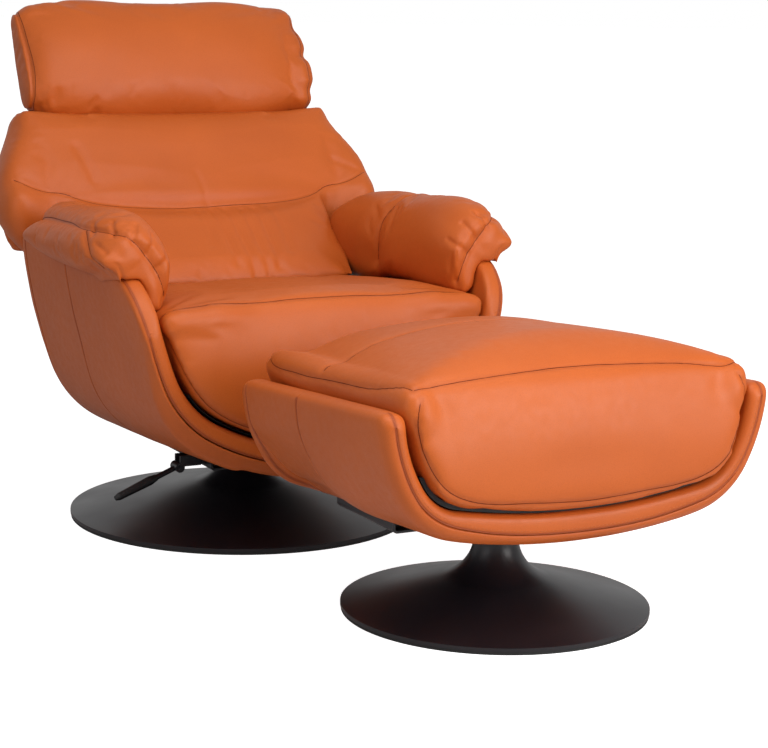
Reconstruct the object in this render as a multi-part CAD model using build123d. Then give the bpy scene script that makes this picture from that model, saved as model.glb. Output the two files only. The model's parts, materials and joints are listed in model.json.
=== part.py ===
"""Swivel recliner with a matching ottoman, each on a round trumpet pedestal.

Units are millimetres.  +Z is up, the chair faces -Y and its origin is on the
floor, on the chair's swivel axis.
"""
import os
from math import atan2, cos, degrees, hypot, pi, radians, sin, tan

from build123d import *

# ---------------------------------------------------------------- clearances
soft_gap = 0.4        # between an upholstered piece and its neighbour
running_gap = 0.05    # radial, shaft in bush
seat_gap = 0.3        # between hard pieces that lie on one another

# ------------------------------------------------------------------ pedestals
glide_height = 5.0
dish_wall = 2.5
rim_height = 11.0
neck_radius = 36.0
flare_radius = 70.0
chair_dish_radius = 324.0
chair_cone_angle = 12.0
ottoman_dish_radius = 250.0
ottoman_cone_angle = 15.0
ballast_thickness = 12.0
ballast_share = 0.62          # ballast radius over dish radius
column_radius = 27.0
column_wall = 3.0
foot_bolt_radius = 5.0
foot_bolt_circle = 48.0
bush_length = 22.0
bush_flange = 3.0
spindle_radius = 14.0
clip_thickness = 3.0

# ------------------------------------------------------- mechanism under seat
tray_floor_height = 112.0     # underside of the chair's tray
tray_sheet = 4.0
tray_half_width = 114.0
tray_front = -118.0
tray_rear = 108.0
tray_bend = 8.0
hub_radius = 46.0
hub_height = 10.0
saddle_length = 34.0
bolt_radius = 4.0
saddle_grip = 8.0              # length of a bolt inside its saddle
lever_pivot_y = -62.0
lever_offset = 43.0           # from the tray's side wall to the pivot
lever_rod_radius = 5.0
lever_grip_radius = 8.5
lever_reach = 128.0
lever_droop = 20.0            # degrees below level
lever_sweep = 5.0             # degrees towards the front

# ------------------------------------------------------------- chair's shell
shell_thickness = 40.0
shell_skin = 13.0             # padded leather outside and inside the plywood
shell_edge_pad = 12.0
shell_slope = 0.07          # falls this much per unit towards the rear
shell_front = -377.0
shell_rear = 200.0
seat_seam_height = 437.0      # at the seat's front corners
shell_top_front = seat_seam_height + 74.0
shell_top_rear = seat_seam_height + 95.0
shell_front_corner = 106.0
shell_rear_corner = 34.0
# half of the section at the front: bottom, hip, side and top
shell_curve = [(0.0, 160.0), (226.0, 220.0), (316.0, 326.0), (366.0, 560.0)]

# ------------------------------------------------------------ seat and slides
seat_rise = 8.0
seat_clearance = 6.0
seat_front = -374.0
seat_back = 0.0
seat_crown = 28.0
seat_thickness = 120.0
fascia_depth = 74.0
board_thickness = 18.0
strap_half_width = 22.0
strap_thickness = 2.5
slide_rail_x = 150.0
rail_width = 30.0
rail_height = 12.0
rail_wall = 2.5
rail_slot = 14.0
rail_play = 0.3
beam_height = 14.0
beam_half_width = 16.0

# ----------------------------------------------------------------------- back
recline_y = 40.0
recline_z = 400.0
recline_angle = 28.0
link_drop = 95.0              # from the recline pivot to the link tube
back_bottom = (20.0, 440.0)   # (y, z) of the middle of the front face
back_middle = (184.0, 562.0)
back_top = (323.0, 748.0)
cushion_depth = 92.0
panel_depth = 12.0
rear_cover_depth = 24.0
back_low_half = 262.0
back_wing_low = 345.0
back_wing_half = 376.0
back_top_half = 325.0

# ------------------------------------------------------------------- headrest
headrest_half = 296.0
headrest_radius = 52.0
headrest_height = 150.0       # from the hinge line to the centre of its top
headrest_top_radius = 36.0
headrest_gap = 5.0

# -------------------------------------------------------------------- ottoman
ottoman_place = (114.0, -755.0)
ottoman_front = -254.0
ottoman_rear = 254.0
ottoman_thickness = 44.0
ottoman_slope = 0.07
ottoman_top = 388.0
ottoman_corner = 26.0
ottoman_curve = [(0.0, 175.0), (222.0, 197.0), (306.0, 258.0), (342.0, 388.0)]


# =============================================================== small helpers
def side_face(points):
    """Face in the Y-Z plane through straight runs."""
    return make_face(Plane.YZ * Polyline(*points, close=True))


def across(face, half_width, middle=0.0):
    """Solid of a Y-Z face that runs from one side of the middle to the other."""
    return Pos(middle, 0, 0) * extrude(face, half_width, both=True)


def disc(radius, low, high, x=0.0, y=0.0):
    """Upright cylinder between two heights."""
    return Pos(x, y, (low + high) / 2) * Cylinder(radius, high - low)


def ring(outer, inner, low, high, x=0.0, y=0.0):
    """Upright tube between two heights."""
    return disc(outer, low, high, x, y) - disc(inner, low - 1, high + 1, x, y)


def block(x0, x1, y0, y1, z0, z1):
    """Box between two corners."""
    return Pos((x0 + x1) / 2, (y0 + y1) / 2, (z0 + z1) / 2) * Box(x1 - x0, y1 - y0, z1 - z0)


def rod_x(radius, x0, x1, y, z):
    """Round bar along X."""
    return Pos((x0 + x1) / 2, y, z) * Rot(0, 90, 0) * Cylinder(radius, abs(x1 - x0))


def rod_y(radius, y0, y1, x, z):
    """Round bar along Y."""
    return Pos(x, (y0 + y1) / 2, z) * Rot(90, 0, 0) * Cylinder(radius, abs(y1 - y0))


def link_plate(ends, x0, x1):
    """Flat bar in the Y-Z plane, with a round end or elbow (y, z, radius) at each point."""
    thick = x1 - x0
    bar = extrude(Plane.YZ * Pos(*ends[0][:2]) * Circle(ends[0][2]), thick, dir=(1, 0, 0))
    for (ya, za, ra), (yb, zb, rb) in zip(ends, ends[1:]):
        run = atan2(zb - za, yb - ya)
        side = (-sin(run), cos(run))
        web = side_face([
            (ya + ra * side[0], za + ra * side[1]), (yb + rb * side[0], zb + rb * side[1]),
            (yb - rb * side[0], zb - rb * side[1]), (ya - ra * side[0], za - ra * side[1])])
        bar += extrude(web, thick, dir=(1, 0, 0))
        bar += extrude(Plane.YZ * Pos(yb, zb) * Circle(rb), thick, dir=(1, 0, 0))
    return Pos(x0, 0, 0) * bar


def both_sides(piece):
    """A piece and its mirror image, as two separate solids."""
    return Compound(children=[*piece.solids(), *piece.mirror(Plane.YZ).solids()])


def group(pieces):
    """Separate solids kept in one node."""
    return Compound(children=[solid for piece in pieces for solid in piece.solids()])


# ================================================================== pedestals
def trumpet(dish_radius, cone_angle, top, inset, foot):
    """Solid under the trumpet's surface, moved inwards by a wall."""
    slope = radians(cone_angle)
    centre_r = neck_radius + flare_radius
    tangent_r = centre_r - flare_radius * sin(slope)
    centre_z = rim_height + (dish_radius - tangent_r) * tan(slope) + flare_radius * cos(slope)
    flare = flare_radius + inset
    touch = (centre_r - flare * sin(slope), centre_z - flare * cos(slope))
    rim = dish_radius - inset
    rim_z = touch[1] - (rim - touch[0]) * tan(slope)
    if top >= centre_z:
        arc_end = (centre_r - flare, centre_z)
    else:
        arc_end = (centre_r - (flare ** 2 - (centre_z - top) ** 2) ** 0.5, top)
    turn_start = atan2(touch[1] - centre_z, touch[0] - centre_r)
    turn_end = atan2(arc_end[1] - centre_z, arc_end[0] - centre_r)
    if turn_end > 0:
        turn_end -= 2 * pi
    turn_mid = (turn_start + turn_end) / 2
    arc_mid = (centre_r + flare * cos(turn_mid), centre_z + flare * sin(turn_mid))
    outline = [Line((0, foot), (rim, foot)), Line((rim, foot), (rim, rim_z)),
               Line((rim, rim_z), touch), ThreePointArc(touch, arc_mid, arc_end)]
    last = arc_end
    if top > centre_z:
        last = (arc_end[0], top)
        outline.append(Line(arc_end, last))
    outline += [Line(last, (0, last[1])), Line((0, last[1]), (0, foot))]
    return revolve(make_face(Plane.XZ * Wire(outline)), Axis.Z)


def dish(dish_radius, cone_angle, top):
    """Spun steel trumpet, open below and at its neck."""
    shell = trumpet(dish_radius, cone_angle, top, 0.0, glide_height)
    hollow = trumpet(dish_radius, cone_angle, top + 0.001, dish_wall, glide_height - 1)
    hollow += disc(neck_inner(dish_radius, cone_angle, top), top - 1, top + 1)
    return shell - hollow


def flare_centre(dish_radius, cone_angle):
    """Height of the centre of the flare's arc."""
    slope = radians(cone_angle)
    tangent_r = neck_radius + flare_radius * (1 - sin(slope))
    return rim_height + (dish_radius - tangent_r) * tan(slope) + flare_radius * cos(slope)


def neck_inner(dish_radius, cone_angle, height):
    """Inside radius of the trumpet's neck at a height."""
    rise = max(flare_centre(dish_radius, cone_angle) - height, 0.0)
    return neck_radius + flare_radius - ((flare_radius + dish_wall) ** 2 - rise ** 2) ** 0.5


def under_dish(dish_radius, cone_angle, radius):
    """Height of the dish's underside at a radius on its cone."""
    slope = radians(cone_angle)
    return rim_height - dish_wall / cos(slope) + (dish_radius - radius) * tan(slope)


def pedestal(prefix, dish_radius, cone_angle, dish_top, column_top, turns):
    """Pieces of one pedestal by name; a turning one has bushes, a fixed one a head flange."""
    pieces = {}
    lip = glide_height / 2
    glide = ring(dish_radius - 1.0, dish_radius - 24.0, 0, glide_height - seat_gap / 10)
    groove = ring(dish_radius - 9.0, dish_radius - 18.0, lip, glide_height)
    pieces[prefix + "glide_ring"] = glide - groove
    bowl = dish(dish_radius, cone_angle, dish_top)
    pieces[prefix + "dish"] = bowl
    ballast_radius = ballast_share * dish_radius
    ballast_top = under_dish(dish_radius, cone_angle, ballast_radius) - seat_gap
    ballast_low = ballast_top - ballast_thickness
    plate = disc(ballast_radius, ballast_low, ballast_top)
    flange_top = ballast_top + 8.0
    column = disc(foot_bolt_circle + 14.0, ballast_top, flange_top)
    column += disc(column_radius, ballast_top, column_top)
    if turns:
        column -= disc(column_radius - column_wall, ballast_top - 1, column_top + 1)
    else:
        column -= disc(column_radius - column_wall, ballast_top - 1, column_top - 8.0)
        column += disc(hub_radius, column_top - 8.0, column_top)
    bolts = []
    for place in PolarLocations(foot_bolt_circle, 4, 45):
        x, y = place.position.X, place.position.Y
        plate -= disc(foot_bolt_radius + seat_gap, ballast_low - 1, ballast_top + 1, x, y)
        column -= disc(foot_bolt_radius + seat_gap, ballast_top - 1, flange_top + 1, x, y)
        head = Pos(x, y, ballast_low - 6.0) * extrude(RegularPolygon(8.5, 6), 6.0)
        nut = Pos(x, y, flange_top) * extrude(RegularPolygon(8.5, 6), 6.0)
        bolts.append(head + disc(foot_bolt_radius, ballast_low - 1, flange_top + 1, x, y) + nut)
    pieces[prefix + "ballast_plate"] = plate
    pieces[prefix + "column"] = column
    pieces[prefix + "foot_bolts"] = group(bolts)
    inner = neck_inner(dish_radius, cone_angle, dish_top) - seat_gap
    collar = ring(inner, column_radius + seat_gap / 3, dish_top - 9.0, dish_top)
    collar += ring(inner + dish_wall, column_radius + seat_gap / 3, dish_top, dish_top + 2.5)
    pieces[prefix + "neck_collar"] = collar
    if turns:
        bore = spindle_radius + running_gap
        inside = column_radius - column_wall
        low = ballast_top + 14.0
        pieces[prefix + "lower_bush"] = ring(inside, bore, low, low + bush_length)
        upper = ring(inside, bore, column_top - bush_length, column_top)
        upper += ring(column_radius, bore, column_top, column_top + bush_flange)
        pieces[prefix + "upper_bush"] = upper
    return pieces, ballast_top


# ======================================================= curved shells (both)
def curve_turns(curve):
    """Direction of the section at each of its points; it starts level."""
    turns = [0.0]
    for (xa, za), (xb, zb) in zip(curve, curve[1:]):
        turns.append(2 * atan2(zb - za, xb - xa) - turns[-1])
    return turns


def section_edges(curve, inset, rise):
    """Right-hand edges of the section, moved inwards and up."""
    turns = curve_turns(curve)
    spots = [(x - inset * sin(t), z + inset * cos(t) + rise) for (x, z), t in zip(curve, turns)]
    spots[0] = (0.0, spots[0][1])
    edges = []
    for start, end, turn in zip(spots, spots[1:], turns):
        edges.append(TangentArc(start, end, tangent=(cos(turn), sin(turn))))
    return edges, spots[-1]


def trough(curve, inset, rise, lid, crown, front, rear, slope):
    """Solid that fills the section up to a crowned lid, along the sloping run.

    The curve and the lid are heights in the plane at the front.
    """
    edges, top = section_edges(curve, inset, rise)
    steep = curve_turns(curve)[-1]
    above = max(lid + crown - top[1], 0.0) + 20.0
    corner = (top[0] + above / tan(steep), top[1] + above)
    edges.append(Line(top, corner))
    left = [edge.mirror(Plane.YZ) for edge in edges]
    face = make_face(Wire([*edges, *left, Line((-corner[0], corner[1]), corner)]))
    half = top[0] + max(lid - top[1], 0.0) / tan(steep)
    far = 3 * half
    roof = [Line((-far, lid), (-half, lid)), Line((half, lid), (far, lid)), Line((far, lid), (far, -far)),
            Line((far, -far), (-far, -far)), Line((-far, -far), (-far, lid))]
    if crown:
        roof.append(ThreePointArc((-half, lid), (0, lid + crown), (half, lid)))
    else:
        roof.append(Line((-half, lid), (half, lid)))
    face = Plane.XZ * (face & make_face(Wire(roof)))
    run = rear - front
    stretch = hypot(1.0, slope)
    return Pos(0, front, 0) * extrude(face, run * stretch, dir=(0, 1 / stretch, -slope / stretch))


def side_outline(front, rear, top_front, top_rear, front_corner, rear_corner, inset=0.0, floor=20.0):
    """Side view of a shell, with its corners rounded and its rim moved inwards."""
    f, r = front + inset, rear - inset
    tf, tr = top_front - inset, top_rear - inset
    cf, cr = front_corner - inset, max(rear_corner - inset, 4.0)
    rim = [Line((f, floor), (f, tf - cf)), TangentArc((f, tf - cf), (f + cf, tf), tangent=(0, 1)),
           Line((f + cf, tf), (r - cr, tr)), TangentArc((r, tr - cr), (r - cr, tr), tangent=(0, 1)),
           Line((r, tr - cr), (r, floor)), Line((r, floor), (f, floor))]
    return make_face(Plane.YZ * Wire(rim))


def upholstered_shell(curve, thickness, slope, front, rear, tops, corners):
    """Leather outside, plywood and leather inside of one curved shell."""
    lid = max(tops) + slope * (rear - front) + 60.0
    reach = dict(lid=lid, crown=0.0, front=front, rear=rear, slope=slope)
    layer = [trough(curve, inset, 0.0, **reach) for inset in
             (0.0, shell_skin, thickness - shell_skin, thickness)]
    wide = 2 * curve[-1][0]
    whole = across(side_outline(front, rear, *tops, *corners), wide)
    inner = across(side_outline(front, rear, *tops, *corners, inset=shell_edge_pad), wide)
    plywood = (layer[1] - layer[2]) & inner
    lining = (layer[2] - layer[3]) & inner
    outside = ((layer[0] - layer[3]) & whole) - ((layer[1] - layer[3]) & inner)
    return outside, plywood, lining


# ============================================================== chair's pieces
nodes = {}

mechanism_top = tray_floor_height + tray_sheet
column_top = tray_floor_height - hub_height - bush_flange - seat_gap
chair_dish_top = column_top - 4.0
chair_pieces, chair_ballast_top = pedestal(
    "base_", chair_dish_radius, chair_cone_angle, chair_dish_top, column_top, True)
nodes.update(chair_pieces)


def swivel_spindle():
    """Shaft and round head plate that carry the tray."""
    low = chair_ballast_top + 5.0
    bush_low = chair_ballast_top + 14.0
    shaft = disc(spindle_radius, low, tray_floor_height - 1)
    shaft += disc(hub_radius, tray_floor_height - hub_height, tray_floor_height)
    clip_top = bush_low - seat_gap
    shaft -= ring(spindle_radius + 1, spindle_radius - 2, clip_top - clip_thickness, clip_top)
    clip = ring(spindle_radius + 6, spindle_radius - 2, clip_top - clip_thickness, clip_top)
    clip -= block(-4, 4, -spindle_radius - 8, 0, clip_top - clip_thickness - 1, clip_top + 1)
    return shaft, clip


# ---- shell
chair_outside, chair_plywood, chair_lining = upholstered_shell(
    shell_curve, shell_thickness, shell_slope, shell_front, shell_rear,
    (shell_top_front, shell_top_rear), (shell_front_corner, shell_rear_corner))
shell_block = trough(shell_curve, -soft_gap, 0.0, 700.0, 0.0, shell_front - 5, shell_rear + 5, shell_slope)
nodes["shell_outer_leather"] = chair_outside
nodes["shell_plywood"] = chair_plywood
nodes["shell_inner_leather"] = chair_lining


def bent_tray(half_width, front, rear, low, high):
    """Sheet steel channel with upturned sides, up to the shell that it carries."""
    outer = Pos(0, (low + high) / 2) * Rectangle(2 * half_width, high - low)
    outer = fillet(outer.vertices().sort_by(Axis.Y)[:2], tray_bend)
    inner = Pos(0, (low + high) / 2 + tray_sheet) * Rectangle(
        2 * (half_width - tray_sheet), high - low)
    inner = fillet(inner.vertices().sort_by(Axis.Y)[:2], tray_bend - tray_sheet)
    channel = Plane.XZ * (outer - inner)
    return Pos(0, rear, 0) * extrude(channel, rear - front)


def tray_and_saddles(half_width, front, rear, low, above, saddle_ys):
    """Tray, the blocks that carry the shell in it, and their bolts; above is the shell."""
    tray = bent_tray(half_width, front, rear, low, low + 90) - above
    for y in (front, rear):
        toe = 1 if y == rear else -1
        tray -= across(side_face([(y, low + 22), (y + toe * 5, low - 5), (y + toe * 5, low + 100),
                                  (y - toe * 26, low + 100)]), half_width + 5)
    floor_top = low + tray_sheet
    saddles, bolts = [], []
    for y in saddle_ys:
        saddle = block(-half_width + 14, half_width - 14, y - saddle_length / 2, y + saddle_length / 2,
                       floor_top, floor_top + 80) - above
        for x in (-half_width + 34, half_width - 34):
            hole = disc(bolt_radius + 0.2, low - 1, floor_top + saddle_grip + 1, x, y)
            saddle -= hole
            tray -= hole
            head = Pos(x, y, low - 5) * extrude(RegularPolygon(7.0, 6), 5.0)
            bolts.append(head + disc(bolt_radius, low - 1, floor_top + saddle_grip, x, y))
        saddles.append(saddle)
    return tray, saddles, bolts


spindle, clip = swivel_spindle()
tray, saddles, tray_bolts = tray_and_saddles(
    tray_half_width, tray_front, tray_rear, tray_floor_height, shell_block, (-84.0, 62.0))
for hole_y in (-10.0, 34.0):
    tray -= rod_x(8.0, -tray_half_width - 5, tray_half_width + 5, hole_y, tray_floor_height + 20)
for place in PolarLocations(hub_radius - 12, 4, 45):
    x, y = place.position.X, place.position.Y
    hole = disc(bolt_radius + 0.2, tray_floor_height - hub_height - 1, mechanism_top + 1, x, y)
    tray -= hole
    spindle -= hole
    head = Pos(x, y, mechanism_top) * extrude(RegularPolygon(6.5, 6), 4.0)
    tray_bolts.append(head + disc(bolt_radius, tray_floor_height - hub_height + 1, mechanism_top + 1, x, y))
nodes["swivel_spindle"] = spindle
nodes["spindle_clip"] = clip
nodes["mechanism_tray"] = tray
nodes["shell_saddles"] = group(saddles)
nodes["tray_bolts"] = group(tray_bolts)


# ---- release lever on the sitter's right
lever_x = -tray_half_width - lever_offset
lever_z = tray_floor_height + 1.0
ear_gap = 20.0
ear_thickness = 4.0


def lever_bracket():
    """Two ears and a pin, welded to the tray's side wall."""
    bracket = block(-tray_half_width - 3.0, -tray_half_width, lever_pivot_y - ear_gap / 2 - ear_thickness,
                    lever_pivot_y + ear_gap / 2 + ear_thickness, tray_floor_height + 6, lever_z + 22)
    for y in (lever_pivot_y - ear_gap / 2 - ear_thickness, lever_pivot_y + ear_gap / 2):
        ear = rod_y(9.0, y, y + ear_thickness, lever_x, lever_z)
        ear += block(lever_x, -tray_half_width - 2, y, y + ear_thickness, lever_z + 2, lever_z + 22)
        bracket += ear
    return bracket + rod_y(4.0, lever_pivot_y - 17, lever_pivot_y + 17, lever_x, lever_z)


def lever_parts():
    """Hub with its rod, and the moulded grip on the rod's end."""
    hub = rod_y(9.0, lever_pivot_y - ear_gap / 2 + seat_gap, lever_pivot_y + ear_gap / 2 - seat_gap,
                lever_x, lever_z)
    aim = Pos(lever_x, lever_pivot_y, lever_z) * Rot(0, 0, lever_sweep) * Rot(0, -90 - lever_droop, 0)
    rod = aim * Pos(0, 0, lever_reach / 2) * Cylinder(lever_rod_radius, lever_reach)
    grip_start = 0.36 * lever_reach
    grip_end = lever_reach + 6.0
    grip_half = [(0, grip_start), (lever_rod_radius + 1, grip_start), (lever_grip_radius, grip_start + 14),
                 (lever_grip_radius - 1.5, grip_end - 8), (lever_grip_radius - 4, grip_end), (0, grip_end)]
    grip = aim * revolve(make_face(Plane.XZ * Polyline(*grip_half, close=True)), Axis.Z)
    arm = hub + (rod - rod_y(8.0, lever_pivot_y - 12, lever_pivot_y + 12, lever_x, lever_z))
    arm -= rod_y(4.0 + running_gap, lever_pivot_y - 20, lever_pivot_y + 20, lever_x, lever_z)
    return arm, grip - aim * Pos(0, 0, lever_reach / 2) * Cylinder(lever_rod_radius, lever_reach)


nodes["lever_bracket"] = lever_bracket()
nodes["lever_arm"], nodes["lever_grip"] = lever_parts()


# ---- seat, which slides forward on two rails inside the shell
slope_turn = degrees(atan2(shell_slope, 1.0))
seat_inset = shell_thickness + seat_clearance
seat_run = dict(front=seat_front, rear=seat_back, slope=shell_slope)
seat_lid = seat_seam_height
board_top = seat_seam_height - seat_thickness + 14.0    # in the plane at the front
fascia_back = seat_front + fascia_depth
board_rear = seat_back - 8.0


def seat_level(height, y):
    """Height at y of a level that slopes with the shell, given at the seat's front."""
    return height - shell_slope * (y - seat_front)


def seat_slab(low, high, y0, y1, half_width=400.0):
    """Slab between two sloping levels."""
    return across(side_face([(y0, seat_level(low, y0)), (y1, seat_level(low, y1)),
                             (y1, seat_level(high, y1)), (y0, seat_level(high, y0))]), half_width)


def seat_cushion():
    """Crowned seat with a rounded front that hangs down to follow the shell."""
    body = trough(shell_curve, seat_inset, seat_rise, seat_lid, seat_crown,
                  seat_front - 30, seat_back, shell_slope)
    top = seat_level(seat_lid + seat_crown + 30, seat_front)
    bottom = 150.0
    back_top = seat_level(seat_lid + seat_crown + 30, seat_back)
    under_rear = seat_level(board_top + 3, seat_back)
    under_front = seat_level(board_top + 3, fascia_back)
    shape = [Line((fascia_back, bottom), (seat_front + 12, bottom)),
             ThreePointArc((seat_front + 12, bottom), (seat_front - 16, 330),
                           (seat_front + 4, seat_lid - 10)),
             ThreePointArc((seat_front + 4, seat_lid - 10), (seat_front + 22, seat_lid + 18),
                           (seat_front + 62, top - 34)),
             Line((seat_front + 62, top - 34), (seat_back, back_top)),
             Line((seat_back, back_top), (seat_back, under_rear)),
             Line((seat_back, under_rear), (fascia_back, under_front)),
             Line((fascia_back, under_front), (fascia_back, bottom))]
    return body & across(make_face(Plane.YZ * Wire(shape)), 400)


nodes["seat_cushion"] = seat_cushion()
inside = trough(shell_curve, seat_inset, seat_rise, seat_lid, 0.0, **seat_run)
frame = inside & seat_slab(board_top - board_thickness, board_top, fascia_back + 8, board_rear)
frame -= seat_slab(board_top - 40, board_top + 10, fascia_back + 76, board_rear - 76, 150.0)
nodes["seat_board"] = frame
panel_room = trough(shell_curve, shell_thickness + 2.5, 3.0, seat_lid - 30, 0.0, **seat_run)
nodes["seat_front_panel"] = panel_room & seat_slab(
    0, board_top + 2.6, fascia_back + soft_gap, fascia_back + 7.6)
strap = seat_slab(board_top, board_top + strap_thickness, fascia_back + 14, board_rear - 6,
                  strap_half_width)
nodes["seat_webbing"] = group([strap.moved(Pos(x, 0, 0)) for x in (-120.0, -60.0, 0.0, 60.0, 120.0)])

# rails lie under the board, on two cross beams that rest in the shell
rail_low = board_top - board_thickness - 24.0
shell_hollow = trough(shell_curve, shell_thickness + seat_gap, 0.0, 700.0, 0.0,
                      shell_front, shell_rear, shell_slope)
beams = []
for beam_y in (-262.0, -70.0):
    beams.append(shell_hollow & seat_slab(rail_low - beam_height, rail_low,
                                          beam_y - beam_half_width, beam_y + beam_half_width))


def along_slope(face, y0, y1, level):
    """Bar with a front-view section, that runs with the slope between two places."""
    stretch = hypot(1.0, shell_slope)
    bar = extrude(Plane.XZ * face, (y1 - y0) * stretch, dir=(0, 1 / stretch, -shell_slope / stretch))
    return Pos(0, y0, seat_level(level, y0)) * bar


def rail_section():
    """C channel, open upwards, with lips."""
    channel = Rectangle(rail_width, rail_height)
    channel -= Pos(0, 1) * Rectangle(rail_width - 2 * rail_wall, rail_height - 2 * rail_wall)
    return Pos(0, rail_height / 2) * channel - Pos(0, rail_height - 1) * Rectangle(rail_slot, 4)


def runner_section():
    """Foot held in the rail's lips, neck, and head under the board."""
    foot = Pos(0, rail_height / 2 + 1) * Rectangle(
        rail_width - 2 * (rail_wall + rail_play), rail_height - 2 * (rail_wall + rail_play))
    neck = Pos(0, rail_height + 2) * Rectangle(rail_slot - 2 * rail_play, 12)
    head = Pos(0, rail_height + 10) * Rectangle(rail_width + 4, 4)
    return foot + neck + head


rails, runners = [], []
for side in (-1, 1):
    rails.append(along_slope(rail_section(), -280, -44, rail_low).moved(Pos(side * slide_rail_x, 0, 0)))
    runners.append(along_slope(runner_section(), -270, -90, rail_low).moved(Pos(side * slide_rail_x, 0, 0)))
nodes["slide_beams"] = group(beams)
nodes["slide_rails"] = group(rails)
nodes["slide_runners"] = group(runners)

# locking gas spring between the rear beam and the front of the board
spring_radius = 10.0
spring_wall = 2.0
spring_rod_radius = 4.0
spring_level = rail_low + 11.0
spring_rear, spring_mouth, spring_nose = -62.0, -190.0, -262.0
piston_front, piston_rear = spring_mouth + 66.0, spring_mouth + 74.0


def gas_spring():
    """Cylinder on its beam bracket, and rod with piston and eye block on the board."""
    bore = spring_radius - spring_wall
    tube = along_slope(Circle(spring_radius), spring_mouth, spring_rear, spring_level)
    tube -= along_slope(Circle(bore), spring_mouth + 8, spring_rear - 8, spring_level)
    tube -= along_slope(Circle(spring_rod_radius + running_gap), spring_mouth - 5, spring_mouth + 20,
                        spring_level)
    foot = seat_slab(rail_low, spring_level, spring_rear - 20, spring_rear, 9.0)
    tube += foot - along_slope(Circle(spring_radius - 1), spring_mouth, spring_rear, spring_level)
    rod = along_slope(Circle(spring_rod_radius), spring_nose, piston_rear, spring_level)
    rod += along_slope(Circle(bore - running_gap), piston_front, piston_rear, spring_level)
    rod += seat_slab(spring_level - 9, board_top - board_thickness, spring_nose - 6, spring_nose + 8, 12.0)
    return tube, rod


nodes["gas_spring_cylinder"], nodes["gas_spring_rod"] = gas_spring()


# ---- back, built on the arc of its front face
def circle_through(a, b, c):
    """Centre and radius of the circle through three points."""
    d = 2 * (a[0] * (b[1] - c[1]) + b[0] * (c[1] - a[1]) + c[0] * (a[1] - b[1]))
    squares = [p[0] ** 2 + p[1] ** 2 for p in (a, b, c)]
    y = (squares[0] * (b[1] - c[1]) + squares[1] * (c[1] - a[1]) + squares[2] * (a[1] - b[1])) / d
    z = (squares[0] * (c[0] - b[0]) + squares[1] * (a[0] - c[0]) + squares[2] * (b[0] - a[0])) / d
    return (y, z), hypot(a[0] - y, a[1] - z)


back_centre, back_radius = circle_through(back_bottom, back_middle, back_top)
angle_low = atan2(back_bottom[1] - back_centre[1], back_bottom[0] - back_centre[0])
angle_high = atan2(back_top[1] - back_centre[1], back_top[0] - back_centre[0])


def back_spot(share, depth):
    """(y, z) at a share of the back's height and a depth behind its front face."""
    angle = angle_low + share * (angle_high - angle_low)
    reach = back_radius + depth
    return back_centre[0] + reach * cos(angle), back_centre[1] + reach * sin(angle)


def back_plane(share):
    """Plane square to the back's arc: X across, Y rearwards, Z up the back."""
    angle = angle_low + share * (angle_high - angle_low)
    y, z = back_spot(share, 0.0)
    return Plane(origin=(0, y, z), x_dir=(1, 0, 0), z_dir=(0, -sin(angle), cos(angle)))


def back_share(height):
    """Share of the back's height at which its front face has a height."""
    angle = atan2(height - back_centre[1], (back_radius ** 2 - (height - back_centre[1]) ** 2) ** 0.5)
    return (angle - angle_low) / (angle_high - angle_low)


def padded_slab(stations, near, far, crown, bulge):
    """Loft up the back through sections of (share, half width), each crowned in front."""
    faces = []
    for share, half in stations:
        edges = [ThreePointArc((-half, near), (0, near - crown), (half, near)),
                 ThreePointArc((half, near), (half + bulge, (near + far) / 2), (half, far)),
                 Line((half, far), (-half, far)),
                 ThreePointArc((-half, far), (-half - bulge, (near + far) / 2), (-half, near))]
        faces.append(back_plane(share) * make_face(Wire(edges)))
    return loft(faces)


wing_low = back_share(shell_top_front + 16.0)
wing_bulge = back_share(shell_top_front + 72.0)
wing_high = back_share(shell_top_front + 144.0)
edge_bulge = 12.0
back_stations = [(0.0, back_wing_low - edge_bulge - 20), (wing_low, back_wing_low - edge_bulge),
                 (wing_bulge, back_wing_half - edge_bulge), (wing_high, back_wing_half - 12 - edge_bulge),
                 (1.0, back_top_half - edge_bulge)]
arm_inner = 238.0
arm_outer = arm_inner + 6.0
pillow_end = 160.0                   # the arm cushions end here
arm_cushion_top = shell_top_front + 94.0
wing_room = block(back_low_half - 6, 420, -100, shell_rear + 6, 300, arm_cushion_top + 8)
wing_room += block(back_low_half - 6, 420, -100, 420, 300, shell_top_front - 31)
wing_room += wing_room.mirror(Plane.YZ)


def back_layer(near, far, crown, bulge, inset):
    """One layer of the back, narrow below the arm cushions and with wide wings above them."""
    wide = padded_slab([(share, half - inset) for share, half in back_stations], near, far, crown, bulge)
    return wide - wing_room


headrest_line = back_spot(1.0, headrest_radius)
up_back = (-sin(angle_high), cos(angle_high))
out_back = (cos(angle_high), sin(angle_high))


def from_hinge(up, out):
    """(y, z) at a distance up and rearwards from the headrest's hinge line."""
    y = headrest_line[0] + (up + headrest_radius + headrest_gap) * up_back[0] + out * out_back[0]
    z = headrest_line[1] + (up + headrest_radius + headrest_gap) * up_back[1] + out * out_back[1]
    return y, z


hinge_spot = from_hinge(0.0, 0.0)
panel_near = cushion_depth + soft_gap
panel_far = panel_near + panel_depth
stay_x = 140.0
stay_thickness = 6.0
panel_top = back_spot(0.985, (panel_near + panel_far) / 2 - 4)
panel_lower = back_spot(0.86, (panel_near + panel_far) / 2 - 4)


def stay(grow, x0, x1):
    """Upright flat bar from the back panel to the headrest's hinge line."""
    ends = ((panel_lower, 7.0), (panel_top, 9.0), (hinge_spot, 13.0))
    return link_plate([(*spot, radius + grow) for spot, radius in ends], x0, x1)


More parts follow.
